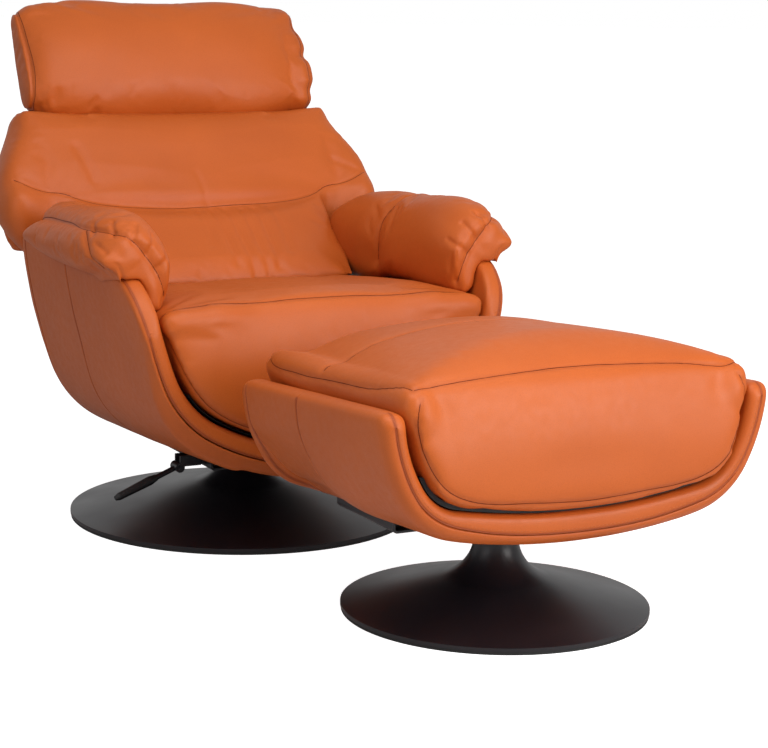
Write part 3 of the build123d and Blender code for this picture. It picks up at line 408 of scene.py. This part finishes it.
def wrapGrid(columns, rows, place):
    # a grid whose points go where place(column, row) says, in mm; points that meet are welded
    grid = bmesh.new()
    bmesh.ops.create_grid(grid, x_segments=columns - 1, y_segments=rows - 1, size=1)
    for vert in grid.verts:
        column = round((vert.co.x + 1) / 2 * (columns - 1))
        row = round((vert.co.y + 1) / 2 * (rows - 1))
        vert.co = Vector(place(column, row)) * mm
    bmesh.ops.remove_doubles(grid, verts=grid.verts, dist=0.03 * mm)
    bmesh.ops.recalc_face_normals(grid, faces=grid.faces)
    return grid


def bakeModifiers(piece):
    graph = bpy.context.evaluated_depsgraph_get()
    shown = bpy.data.meshes.new_from_object(piece.evaluated_get(graph), depsgraph=graph)
    piece.modifiers.clear()
    old = piece.data
    piece.data = shown
    bpy.data.meshes.remove(old)
    shown.shade_smooth()


def addModifier(piece, kind, **settings):
    modifier = piece.modifiers.new(kind.lower(), kind)
    for label, value in settings.items():
        setattr(modifier, label, value)


def mirrored(half):
    # a line from its left end to the middle, carried on to the right
    return half + [(-x, y, z) for x, y, z in half[-2::-1]]


def smoothLine(points):
    # places about one step apart on a smooth line through the given points, in mm
    step = 2.0
    spots = [Vector(p) for p in points]
    count = len(spots)
    line = []
    for i in range(count - 1):
        start, end = spots[i], spots[i + 1]
        before = spots[i - 1] if i else start * 2 - end
        after = spots[i + 2] if i + 2 < count else end * 2 - start
        parts = max(2, round((end - start).length / step))
        for k in range(parts):
            t = k / parts
            square = (2 * before - 5 * start + 4 * end - after) * t * t
            cube = (3 * start - before - 3 * end + after) * t ** 3
            line.append(0.5 * ((2 * start) + (end - before) * t + square + cube))
    line.append(spots[-1])
    return line


def ontoSurface(piece, line, rounds=8):
    # a smooth line on a mesh near the given one: places in metres, with the surface's directions
    shape = bmesh.new()
    shape.from_mesh(piece.data)
    tree = BVHTree.FromBMesh(shape)
    coarse = [p * mm for p in line[:-1:4]] + [line[-1] * mm]
    for _ in range(rounds):
        coarse = [tree.find_nearest(p)[0] for p in coarse]
        for _ in range(2):
            middle = [(a + b * 2 + c) / 4 for a, b, c in zip(coarse, coarse[1:], coarse[2:])]
            coarse = coarse[:1] + middle + coarse[-1:]
    found = [tree.find_nearest(p * mm) for p in smoothLine([p / mm for p in coarse])]
    shape.free()
    return [(spot, direction) for spot, direction, *_ in found]


def lineTree(lines):
    # finds the place on the lines that is nearest to a point
    spots = [p for line in lines for p in line]
    tree = kdtree.KDTree(len(spots))
    for i, p in enumerate(spots):
        tree.insert(p, i)
    tree.balance()
    return tree


def seamTube(name, finish, track, sink):
    # thin cord laid in a seam; track holds places in metres and directions
    sides, radius = 6, 0.8
    spots = [place - direction * sink * mm for place, direction in track]
    last = len(spots) - 1

    def place(column, row):
        here, out = spots[row], track[row][1]
        along = (spots[min(row + 1, last)] - spots[max(row - 1, 0)]).normalized()
        side = along.cross(out).normalized()
        turn = 2 * pi * column / sides
        grow = radius if 0 < row < last else radius * 0.05
        return (here / mm) + (side * cos(turn) + side.cross(along) * sin(turn)) * grow

    return newPiece(name, wrapGrid(sides + 1, len(spots), place), finish)


def finer(track):
    # more places along a track, for short stitches
    parts = 6
    out = []
    for (a, da), (b, db) in zip(track, track[1:]):
        out += [(a.lerp(b, k / parts), da.lerp(db, k / parts).normalized()) for k in range(parts)]
    return out


def stitchRow(name, finish, track, length, gap, radius, lift):
    # separate stitches along a track of places in metres and directions
    row = bmesh.new()
    travelled, target = 0.0, length * 0.5
    for (here, out), (after, _) in zip(track, track[1:]):
        span = (after - here).length / mm
        travelled += span
        if travelled < target or span == 0:
            continue
        target += length + gap
        along = (after - here).normalized()
        side = along.cross(out).normalized()
        turn = Matrix((side, along, out)).transposed().to_4x4()
        shape = Matrix.Diagonal((radius * mm, length / 2 * mm, radius * mm, 1))
        place = Matrix.Translation(here + out * lift * mm) @ turn @ shape
        bmesh.ops.create_icosphere(row, subdivisions=1, radius=1.0, matrix=place)
    return newPiece(name, row, finish)


def paintSeamShade(piece, lines):
    # mask of painted seam shade for the shader: 1 on a seam, fading to its sides
    width = 2.6
    tree = lineTree(lines)
    mask = piece.data.attributes.new("seam", "FLOAT", "POINT")
    for vert in piece.data.vertices:
        gap = tree.find(vert.co)[2] / mm
        mask.data[vert.index].value = exp(-(gap / width) ** 2)


def pressSeams(piece, lines, depth, width, valley=0.0, reach=18.0):
    # a crease along each line, in a shallow valley
    tree = lineTree(lines)
    shape = bmesh.new()
    shape.from_mesh(piece.data)
    shape.normal_update()
    for vert in shape.verts:
        gap = tree.find(vert.co)[2] / mm
        if gap < 4 * max(width, reach):
            push = depth * exp(-(gap / width) ** 2) + valley * exp(-(gap / reach) ** 2)
            vert.co -= vert.normal * push * mm
    shape.to_mesh(piece.data)
    shape.free()


def startForm(name, node, spec, full, bend):
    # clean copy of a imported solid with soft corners, bent by bend and made fuller by full, in mm
    shape = bmesh.new()
    shape.from_mesh(frame["nodes"][node].data)
    bmesh.ops.remove_doubles(shape, verts=shape.verts, dist=0.01 * mm)
    piece = newPiece(name, shape, leather)
    addModifier(piece, "REMESH", mode="VOXEL", voxel_size=spec["voxel"] * mm, use_smooth_shade=True)
    addModifier(piece, "SMOOTH", factor=0.5, iterations=spec["rounds"])
    bakeModifiers(piece)
    shape = bmesh.new()
    shape.from_mesh(piece.data)
    shape.normal_update()
    for vert in shape.verts:
        spot = vert.co / mm
        vert.co = (bend(*spot) if bend else spot) * mm + vert.normal * full(*spot) * mm
    shape.to_mesh(piece.data)
    shape.free()
    addModifier(piece, "SMOOTH", factor=0.5, iterations=3)
    bakeModifiers(piece)
    return piece


def inflate(piece, lines, spec):
    # air pressure fills the cover while its seams are held; no point moves past the cap
    frames = 14
    base = [vert.co.copy() for vert in piece.data.vertices]
    held = piece.vertex_groups.new(name="held")
    tree = lineTree(lines)
    for vert in piece.data.vertices:
        gap = tree.find(vert.co)[2] / mm
        if gap < spec["voxel"] * 0.9:
            held.add([vert.index], 1.0, "REPLACE")
    cloth = piece.modifiers.new("cloth", "CLOTH")
    fabric = cloth.settings
    fabric.quality = 3
    fabric.mass = 0.3
    fabric.tension_stiffness = spec["tension"]
    fabric.compression_stiffness = spec["tension"]
    fabric.shear_stiffness = 8
    fabric.bending_stiffness = spec["bending"]
    fabric.use_pressure = True
    fabric.uniform_pressure_force = spec["pressure"]
    fabric.shrink_min = -spec["slack"]
    fabric.vertex_group_mass = "held"
    fabric.effector_weights.gravity = 0
    cloth.collision_settings.use_collision = False
    cloth.point_cache.frame_end = frames
    for moment in range(1, frames + 1):
        bpy.context.scene.frame_set(moment)
    graph = bpy.context.evaluated_depsgraph_get()
    shown = piece.evaluated_get(graph).data
    moved = [vert.co.copy() for vert in shown.vertices]
    piece.modifiers.clear()
    bpy.context.scene.frame_set(1)
    for vert, start, end in zip(piece.data.vertices, base, moved):
        step = end - start
        if step.length > spec["cap"] * mm:
            step *= spec["cap"] * mm / step.length
        vert.co = start + step


def cushion(name, node, spec, full, bend=None):
    began = time()
    piece = startForm(name, node, spec, full, bend)
    seams = spec["seams"]
    lines = [[spot for spot, _ in ontoSurface(piece, smoothLine(seam))] for seam in seams]
    if spec["pressure"]:
        inflate(piece, lines, spec)
    addModifier(piece, "SUBSURF", levels=1, render_levels=1)
    bakeModifiers(piece)
    tracks = [ontoSurface(piece, smoothLine(seam)) for seam in seams]
    lines = [[spot for spot, _ in track] for track in tracks]
    creaseWidth = 3.2
    pressSeams(piece, lines, spec["crease"], creaseWidth, spec["valley"], spec["reach"])
    paintSeamShade(piece, lines)
    for line, deep, wide in spec.get("folds", ()):
        track = ontoSurface(piece, smoothLine(line))
        pressSeams(piece, [[spot for spot, _ in track]], deep, wide)
    cords = []
    for number, seam in enumerate(seams):
        track = ontoSurface(piece, smoothLine(seam))
        # a dark cord sunk in each seam, as painted shade of its groove
        cords.append(seamTube(f"{name}Seam{number + 1}", paintedSeamShade, track, sink=0.35))
    print(name, "made,", len(piece.data.polygons), "faces", round(time() - began, 1), "s", flush=True)
    return piece, cords


def settle(piece, cords, body, *nodes):
    # a leather piece and its cords move with a body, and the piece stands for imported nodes
    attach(piece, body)
    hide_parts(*nodes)
    for cord in cords:
        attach(cord, body)


# curved shells
def arcChain(curve):
    # arcs that follow one another through the points; the first starts level
    arcs, turn = [], 0.0
    for (xa, za), (xb, zb) in zip(curve, curve[1:]):
        bend = 2 * (atan2(zb - za, xb - xa) - turn)
        radius = hypot(xb - xa, zb - za) / (2 * sin(bend / 2))
        arcs.append((xa, za, turn, bend, radius))
        turn += bend
    return arcs


def chainSpot(arcs, run, depth=0.0):
    # place (x, z) at a run from the middle of the section, moved inwards by a depth
    side = -1 if run < 0 else 1
    left = abs(run)
    for arc in arcs:
        xa, za, turn, bend, radius = arc
        if left <= radius * bend or arc is arcs[-1]:
            break
        left -= radius * bend
    angle = turn + left / radius
    x = xa + radius * (sin(angle) - sin(turn)) - depth * sin(angle)
    z = za - radius * (cos(angle) - cos(turn)) + depth * cos(angle)
    return side * x, z


def runTo(arcs, height):
    # run along the outside at which the section has a height
    low, high = 0.0, 900.0
    while high - low > 0.01:
        middle = (low + high) / 2
        if chainSpot(arcs, middle)[1] < height:
            low = middle
        else:
            high = middle
    return low


def ease(value, low, high):
    # 0 below the low value, 1 above the high one, smooth between
    share = min(max((value - low) / (high - low), 0.0), 1.0)
    return share * share * (3 - 2 * share)


def chairSwell(x, y, z):
    # the stuffing under the outer leather: full at the hips and the front, none over the tray
    hip = (15 - 0.02 * y) * ease(abs(x), 116, 168) * (1 - ease(z, 200, 400))
    front = 16 * (1 - ease(y, -345, -190)) * (1 - ease(z, 210, 400))
    return max(hip, front)


def ottomanSwell(x, y, z):
    # fuller at the middle of the front, drawn up at the rear corners
    front = 5 * (1 - ease(abs(x), 180, 310)) * (1 - ease(y, -254, -120))
    raised = 21 * ease(abs(x), 188, 242) * ease(y, -60, 140) * (1 - ease(z, 235, 335))
    return front - raised


# curve: the section's outside, (x, z) from the middle up, in mm; slope: how the shell falls to the rear;
# low and high: its thickness at the middle and the sides; edge, innerEdge and rearEdge: how far its rims are
# rounded; seamLow and seamHigh: depth of the front seam; panelSeam and rearSeam: places of the cross seams
chairShell = dict(
    curve=[(0, 160), (226, 220), (316, 326), (366, 560)], slope=0.07, front=-377, rear=200,
    topFront=511, topRear=532, frontCorner=106, rearCorner=34, low=43, high=37,
    edge=26, innerEdge=17, rearEdge=12, seamLow=9, seamHigh=9, panelSeam=-50, rearSeam=172,
    place=(0, 0), rows=146, ripple=0.5, swell=chairSwell, bulge=2.5,
)
ottomanShell = dict(
    curve=[(0, 175), (222, 197), (306, 258), (342, 388)], slope=0.07, front=-254, rear=254,
    topFront=391, topRear=361, frontCorner=26, rearCorner=32, low=45, high=41,
    edge=26, innerEdge=15, rearEdge=14, seamLow=13, seamHigh=20, panelSeam=31, rearSeam=226,
    place=(114, -755), rows=116, ripple=0.9, swell=ottomanSwell, bulge=2.5,
)


def shellLoop(spec, thick, share):
    # paired places (y, depth) from the front seam to the rear, round the outside and round the inside
    front, rear = spec["front"], spec["rear"]
    edge, inner, back = spec["edge"], spec["innerEdge"], spec["rearEdge"]
    seam = spec["seamLow"] + (spec["seamHigh"] - spec["seamLow"]) * ease(abs(share), 0.25, 0.6)
    pairs = [((front + 1.8, seam), (front + 1.8, seam))]
    pairs.append(((front - 0.2, seam - 1.8), (front - 0.2, seam + 1.8)))
    pairs.append(((front + 0.2, seam - 4.2), (front - 1.4, seam + 4.5)))
    for angle in (72, 52, 34, 16, 0):
        turn = radians(angle)
        outward = (front + edge * (1 - sin(turn)), (seam - 4.2) * (1 - cos(turn)))
        inward = (front + inner * (1 - sin(turn)) - 1.5 * sin(turn), thick - inner * (1 - cos(turn)))
        pairs.append((outward, inward))
    behindRim = (24, 50)
    for step in behindRim:
        pairs.append(((front + edge + step, 0.0), (front + inner + step, thick)))
    # each cross seam lies in a groove with raised sides
    groove = ((-7.0, 0.0), (-3.2, -0.7), (-1.1, 0.9), (0.0, 2.4), (1.1, 0.9), (3.2, -0.7), (7.0, 0.0))
    panel, last, side = spec["panelSeam"], spec["rearSeam"], groove[-1][0]
    stops = [(place + step, push) for place in (panel, last) for step, push in groove]
    columnStep = 26
    for low, high in ((front + edge + behindRim[-1], panel - side), (panel + side, last - side)):
        parts = max(2, round((high - low) / columnStep))
        stops += [(low + (high - low) * k / parts, 0.0) for k in range(1, parts)]
    pairs += [((y, push), (y, thick)) for y, push in sorted(stops)]
    for angle in (0, 30, 60):
        turn = radians(angle)
        far, deep = back * (1 - sin(turn)), back * (1 - cos(turn))
        pairs.append(((rear - far, deep), (rear - far, thick - deep)))
    pairs.append(((rear + 1.5, thick * 0.5), (rear + 1.5, thick * 0.5)))
    return pairs


def makeShell(name, spec):
    # the shell's cover as one grid: round its section by columns, from side to side by rows
    arcs = arcChain(spec["curve"])
    front, rear, slope, rows = spec["front"], spec["rear"], spec["slope"], spec["rows"]
    rise = (spec["topRear"] - spec["topFront"]) / (rear - spec["rearCorner"] - front - spec["frontCorner"])
    capAngles = (0, 14, 32, 52, 72)     # rows that round off each top edge, in degrees
    endInset = 0.4                      # from either end, where the top line is still to be found
    seamLift = -4                       # depth at which the cross seams are looked for
    seamSpan = 0.985                    # share of the section that a seam crosses
    rippleSize = 55.0
    reach = {}

    def topRun(y):
        # run along the section at which the shell ends, at a place along it
        key = round(min(max(y, front + endInset), rear - endInset), 1)
        if key not in reach:
            top = spec["topFront"] + rise * (key - front - spec["frontCorner"])
            for corner, gap in ((spec["frontCorner"], key - front), (spec["rearCorner"], rear - key)):
                if gap < corner:
                    top -= corner - sqrt(corner ** 2 - (corner - gap) ** 2)
            reach[key] = runTo(arcs, top + slope * (key - front))
        return reach[key]

    def thickness(share):
        # from the middle's to the sides'
        return spec["low"] + (spec["high"] - spec["low"]) * min(abs(share) * 1.3, 1.0)

    def setDown(x, y, z):
        # from the shell's own frame to the scene's, still in mm
        return x + spec["place"][0], y + spec["place"][1], z - slope * (y - front)

    count = len(shellLoop(spec, thickness(0), 0))
    half = (rows - 1) / 2

    def place(column, row):
        share = (row - half) / half
        side = -1 if share < 0 else 1
        thick = thickness(share)
        pairs = shellLoop(spec, thick, share)
        outside = column < count
        outer, inner = pairs[column if outside else 2 * (count - 1) - column]
        y, depth = outer if outside else inner
        middle = ((outer[0] + inner[0]) / 2, thick * 0.5)

        # the rows near each end close the section towards its middle
        fromEnd = min(row, rows - 1 - row)
        onCap = fromEnd < len(capAngles)
        curl = radians(capAngles[fromEnd]) if onCap else pi / 2
        width = sin(curl) ** 0.75
        y = middle[0] + (y - middle[0]) * width
        full = topRun(y)
        capRise = thick * 0.42
        if onCap:
            run = side * (full - capRise * (1 - cos(curl) ** 0.75))
        else:
            inwards = (fromEnd - len(capAngles)) / (half - len(capAngles))
            run = side * (full - capRise * 1.1) * (1 - inwards)

        # stuffing swells the outside, less at the front rim and none at the rear one
        if outside:
            near = 1.0 if y > front + spec["edge"] else ease(y, front - 2, front + spec["edge"] * 0.7)
            onCurve = chainSpot(arcs, run)
            lift = spec["swell"](onCurve[0], y, onCurve[1])
            lift += spec["bulge"] * sin(pi * (y - front) / (rear - front))
            depth -= lift * near * (1 - ease(y, rear - 30, rear))
        depth = middle[1] + (depth - middle[1]) * width
        x, z = chainSpot(arcs, run, depth)
        wave = noise.noise(Vector((x, y * 1.4, z)) / rippleSize) * spec["ripple"]
        x, y, z = setDown(x, y, z)
        return x + side * wave, y + wave, z

    body = newPiece(name, wrapGrid(2 * count - 1, rows, place), leather)
    addModifier(body, "SUBSURF", levels=1, render_levels=1)
    bakeModifiers(body)

    def corner(side, depth):
        # the front seam's way up round the shell's top front corner
        line, steps = [], 30
        for k in range(steps):
            y = front + 0.5 + spec["frontCorner"] * 0.8 * ((k + 1) / steps) ** 2
            x, z = chainSpot(arcs, side * (topRun(y) - 3), depth)
            line.append(Vector(setDown(x, y, z)))
        return line

    def across(y, depths, span):
        # a line over a share of the section at one place along the shell, by its depth in the middle
        # and at the sides
        full = topRun(y) * span
        line, steps = [], 80
        for k in range(2 * steps + 1):
            share = k / steps - 1
            depth = depths[0] + (depths[1] - depths[0]) * ease(abs(share), 0.25, 0.6)
            x, z = chainSpot(arcs, full * share, depth)
            line.append(Vector(setDown(x, y, z)))
        return line

    seams = (spec["seamLow"], spec["seamHigh"])
    frontLine = corner(-1, seams[1])[::-1] + across(front + 0.5, seams, seamSpan) + corner(1, seams[1])
    crossLines = [across(spec[seam], (seamLift, seamLift), seamSpan) for seam in ("panelSeam", "rearSeam")]
    tracks = [ontoSurface(body, line, 2) for line in (frontLine, *crossLines)]
    paintSeamShade(body, [[spot for spot, _ in track] for track in tracks])
    extras = [seamTube(f"{name}Seam{k + 1}", bandSeam, track, sink=0.3) for k, track in enumerate(tracks)]
    fromSeam = 5.5
    topStitch = ontoSurface(body, across(front - 1, [depth + fromSeam for depth in seams], 0.98), 2)
    extras.append(stitchRow(f"{name}Stitches", thread, finer(topStitch), length=4.2, gap=2.6,
                            radius=0.5, lift=0.1))
    print(name, "made,", len(body.data.polygons), "faces")
    return body, extras, arcs


shellPiece, shellExtras, chairArcs = makeShell("shellUpholstery", chairShell)
settle(shellPiece, shellExtras, "seat_shell", "shell_outer_leather", "shell_inner_leather")
ottomanPiece, ottomanExtras, _ = makeShell("ottomanUpholstery", ottomanShell)
settle(ottomanPiece, ottomanExtras, "ottoman",
       "ottoman_outer_leather", "ottoman_plywood", "ottoman_inner_leather")


def makeLiner(name, spec, arcs, reach, depth, frontGap, rearAt):
    # black felt laid on the inside of the shell under the cushion
    count, rows = 60, 24

    def place(column, row):
        run = reach * (2 * column / (count - 1) - 1)
        y = spec["front"] + frontGap + (rearAt - spec["front"] - frontGap) * row / (rows - 1)
        x, z = chainSpot(arcs, run, depth)
        return x + spec["place"][0], y + spec["place"][1], z - spec["slope"] * (y - spec["front"])

    sheet = newPiece(name, wrapGrid(count, rows, place), felt)
    addModifier(sheet, "SOLIDIFY", thickness=1.2 * mm, offset=0)
    bakeModifiers(sheet)
    return sheet


liner = makeLiner("seatLiner", chairShell, chairArcs, reach=330, depth=44.5, frontGap=16, rearAt=-20)
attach(liner, "seat_shell")

# a cushion's dictionary: voxel is its mesh size, rounds its smoothing, cap how far a point may be blown out;
# crease is how deep its seams lie, in a valley of its own depth and reach; a fold has its line, depth and
# width; all in mm

# seat cushion
seat = dict(
    voxel=7.0, rounds=8, cap=9.0, pressure=3.0, tension=60, bending=6.0, slack=0.0,
    crease=2.0, valley=1.5, reach=12.0, fill=0.8,
    seams=[
        mirrored([(-292, -346, 424), (-262, -352, 441), (-180, -354, 455), (-90, -354, 462), (0, -354, 464)]),
        mirrored([(-292, -346, 424), (-288, -362, 385), (-274, -382, 340), (-245, -386, 300),
                  (-200, -386, 264), (-140, -386, 240), (-70, -386, 226), (0, -386, 222)]),
    ],
)


def seatFull(x, y, z):
    # crowned, most of all at the sides
    return 2 + 9 * ease(z, 400, 440) * ease(abs(x), 120, 220) + 3 * ease(z, 400, 440)


piece, cords = cushion("seatCushion", "seat_cushion", seat, seatFull)
settle(piece, cords, "seat", "seat_cushion")


# back cushion
def pucker(x, lean, low, deep, wide):
    # hangs from the back's seam at x and leans towards its lower end
    return [(x, 165, 560), (x + 4, 136, 520), (x + lean, 170 - 0.75 * (566 - low), low)], deep, wide


back = dict(
    voxel=7.0, rounds=8, cap=9.0, pressure=2.6, tension=45, bending=6.0, slack=0.0,
    crease=2.4, valley=5.0, reach=24.0, fill=0.8,
    seams=[mirrored([(-372, 222, 627), (-330, 200, 622), (-270, 190, 604), (-200, 178, 585),
                     (-100, 172, 570), (0, 170, 566)])],
    folds=[
        pucker(-26, lean=-2, low=470, deep=1.6, wide=9), pucker(4, lean=2, low=440, deep=2.6, wide=7),
        pucker(34, lean=3, low=425, deep=3.2, wide=8), pucker(64, lean=0, low=430, deep=2.8, wide=7),
        pucker(94, lean=-2, low=435, deep=3.2, wide=8), pucker(128, lean=-4, low=450, deep=2.2, wide=9),
        ([(-236, 212, 712), (-222, 202, 670), (-214, 192, 630)], 3.0, 11),
        ([(-6, 186, 650), (0, 178, 610), (2, 172, 574)], 1.2, 7),
        ([(300, 215, 660), (330, 214, 640), (352, 218, 632)], 2.6, 8),
    ],
)


def backFull(x, y, z):
    # fuller at the wings and the top corners, drawn in beside the recline brackets
    side = 13 * ease(abs(x), 290, 370) * ease(z, 470, 560)
    top = 7 * ease(z, 735, 775) * ease(abs(x), 120, 260)
    brackets = 11 * ease(abs(x), 222, 240) * (1 - ease(z, 435, 480))
    return 2 + max(side, top) - brackets


def backBend(x, y, z):
    # the top edge sags between its corners
    return Vector((x, y, z - 15 * ease(z, 670, 752) * max(0.0, 1 - (x / 330) ** 2)))


piece, cords = cushion("backCushion", "back_cushion", back, backFull, backBend)
settle(piece, cords, "back", "back_cushion")

# the back's rear cover, which isn't blown out
cover = dict(
    voxel=7.0, rounds=6, pressure=0.0, crease=1.5, valley=0.0, reach=10.0, fill=0.3,
    seams=[mirrored([(-300, 470, 690), (-150, 470, 690), (0, 470, 690)])],
)
piece, cords = cushion("backCover", "back_rear_cover", cover, lambda x, y, z: 0.0)
settle(piece, cords, "back", "back_rear_cover")


# headrest
def headrestRing(x):
    # piping round one end of the headrest: its points lie upwards and rearwards from the hinge
    hinge, lean = Vector((x, 395.65, 773.98)), radians(27.95)
    up = Vector((0, sin(lean), cos(lean)))
    out = Vector((0, cos(lean), -sin(lean)))
    growUp, growOut = 1.06, 1.12
    ring = [(-60, 0), (-40, -42), (10, -56), (80, -52), (140, -42), (180, -22), (186, 8), (160, 34), (80, 48),
            (0, 54), (-42, 38)]
    return [hinge + up * u * growUp + out * o * growOut for u, o in ring + ring[:1]]


headrest = dict(
    voxel=6.0, rounds=6, cap=12.0, pressure=4.0, tension=35, bending=3.0, slack=0.005,
    crease=2.0, valley=1.5, reach=10.0, fill=0.8,
    seams=[headrestRing(-300), headrestRing(306)],
    dents=(897, 841, 776),      # heights of the dents in its left end
)


def headFull(x, y, z):
    # lobes between the dents at the left end, a flatter right end, and a lower edge that sags in the middle
    dents = sum(exp(-((z - low) / 10) ** 2) for low in headrest["dents"])
    lobe = 19 * ease(x, 255, 296) * max(0.3, 1 - ((z - 815) / 110) ** 2) * (1 - 0.55 * dents)
    trim = 9 * ease(-x, 250, 292)
    sag = 14 * (1 - ease(z, 735, 790)) * (1 - ease(abs(x), 130, 290))
    return 4 + lobe - trim + sag + 5 * ease(z, 920, 945) * (1 - ease(abs(x), 120, 240))


piece, cords = cushion("headrestCushion", "headrest_cushion", headrest, headFull)
settle(piece, cords, "headrest", "headrest_cushion")


# arm cushions
def sided(side, line):
    # a left arm's line for either side
    return [(side * x, y, z) for x, y, z in line]


arm = dict(
    voxel=6.0, rounds=6, cap=11.0, pressure=4.0, tension=22, bending=1.5, slack=0.012,
    crease=2.4, valley=3.0, reach=11.0, fill=0.85,
    seams=[
        [(378, 150, 548), (383, 90, 565), (384, -21, 577), (388, -150, 580), (389, -229, 579),
         (371, -288, 579), (347, -315, 574), (328, -322, 556), (310, -324, 530), (293, -324, 507),
         (284, -322, 480), (278, -312, 466)],
        [(389, -229, 579), (399, -262, 556), (401, -296, 520), (398, -300, 500)],
        [(330, -52, 600), (304, -49, 592), (282, -40, 568), (264, -36, 540), (262, -36, 510),
         (272, -31, 473)],
    ],
    folds=[
        ([(384, -240, 590), (392, -262, 574)], 3.2, 5), ([(356, -272, 590), (366, -298, 574)], 3.4, 5),
        ([(326, -290, 584), (338, -320, 564)], 3.2, 5), ([(304, -296, 566), (316, -326, 542)], 3.0, 5),
        ([(284, -290, 536), (300, -322, 518)], 2.6, 5), ([(392, -284, 560), (384, -310, 548)], 3.0, 5),
    ],
)


def armFull(x, y, z):
    # fuller behind on the inside, against the back
    return 10 * ease(y, -40, 40) * (1 - ease(abs(x), 262, 330))


def armBend(x, y, z):
    # cut short behind on the outside, let down to the seat inside, drawn up at the skirt, more so at the
    # nose, and drawn out to the back at the inner rear corner
    outer = ease(abs(x), 285, 380)
    if y > -20:
        y = -20 + (y + 20) * (1 - 0.5 * outer)
    z -= 26 * (1 - ease(abs(x), 298, 332)) * (1 - ease(z, 465, 525))
    nose = ease(-y, 200, 290)
    z += (20 + 14 * nose) * ease(abs(x), 350, 372) * (1 - ease(z, 475, 560))
    rear = ease(y, 30, 130) * (1 - ease(abs(x), 290, 340)) * (1 - ease(z, 545, 600))
    y += 20 * rear
    x -= 8 * rear * (1 if x > 0 else -1)
    return Vector((x, y, z))


for side, word in ((1, "left"), (-1, "right")):
    seams = [sided(side, seam) for seam in arm["seams"]]
    folds = [(sided(side, line), deep, wide) for line, deep, wide in arm["folds"]]
    node = f"arm_cushion_{word}"
    spec = dict(arm, seams=seams, folds=folds)
    piece, cords = cushion(f"armCushion{word.title()}", node, spec, armFull, armBend)
    settle(piece, cords, "seat_shell", node)


# ottoman cushion
stoolPlace = Vector((*ottomanShell["place"], 0))
stoolSeams = [
    [(-284, -234, 419), (-180, -230, 430), (-90, -226, 436), (0, -224, 438), (90, -226, 436),
     (180, -230, 430), (284, -234, 419), (303, -130, 408), (306, 0, 398), (303, 130, 389),
     (284, 228, 384), (180, 234, 392), (0, 238, 396), (-180, 234, 392), (-290, 228, 384),
     (-312, 130, 389), (-308, 0, 398), (-303, -130, 408), (-284, -234, 419)],
    mirrored([(-278, -232, 400), (-286, -254, 352), (-272, -267, 310), (-253, -270, 281),
              (-196, -270, 253), (-111, -270, 243), (0, -270, 238)]),
    mirrored([(-288, 40, 396), (-220, 55, 412), (-110, 58, 436), (0, 60, 446)]),
]
stool = dict(
    voxel=8.0, rounds=8, cap=9.0, pressure=3.0, tension=60, bending=6.0, slack=0.0,
    crease=2.0, valley=1.5, reach=12.0, fill=0.8,
    seams=[[Vector(p) + stoolPlace for p in seam] for seam in stoolSeams],
)


def stoolFull(x, y, z):
    # crowned, and fuller over its ends, most of all at the rear of the right one
    ends = 13 * ease(abs(x - stoolPlace.x), 235, 285) * ease(z, 350, 390)
    ends += 9 * ease(stoolPlace.x - x, 235, 285) * ease(y - stoolPlace.y, 20, 160) * ease(z, 350, 390)
    crown = 11 * ease(z, 395, 425)
    return 2 + max(ends, crown)


piece, cords = cushion("ottomanCushion", "ottoman_cushion", stool, stoolFull)
settle(piece, cords, "ottoman", "ottoman_cushion")
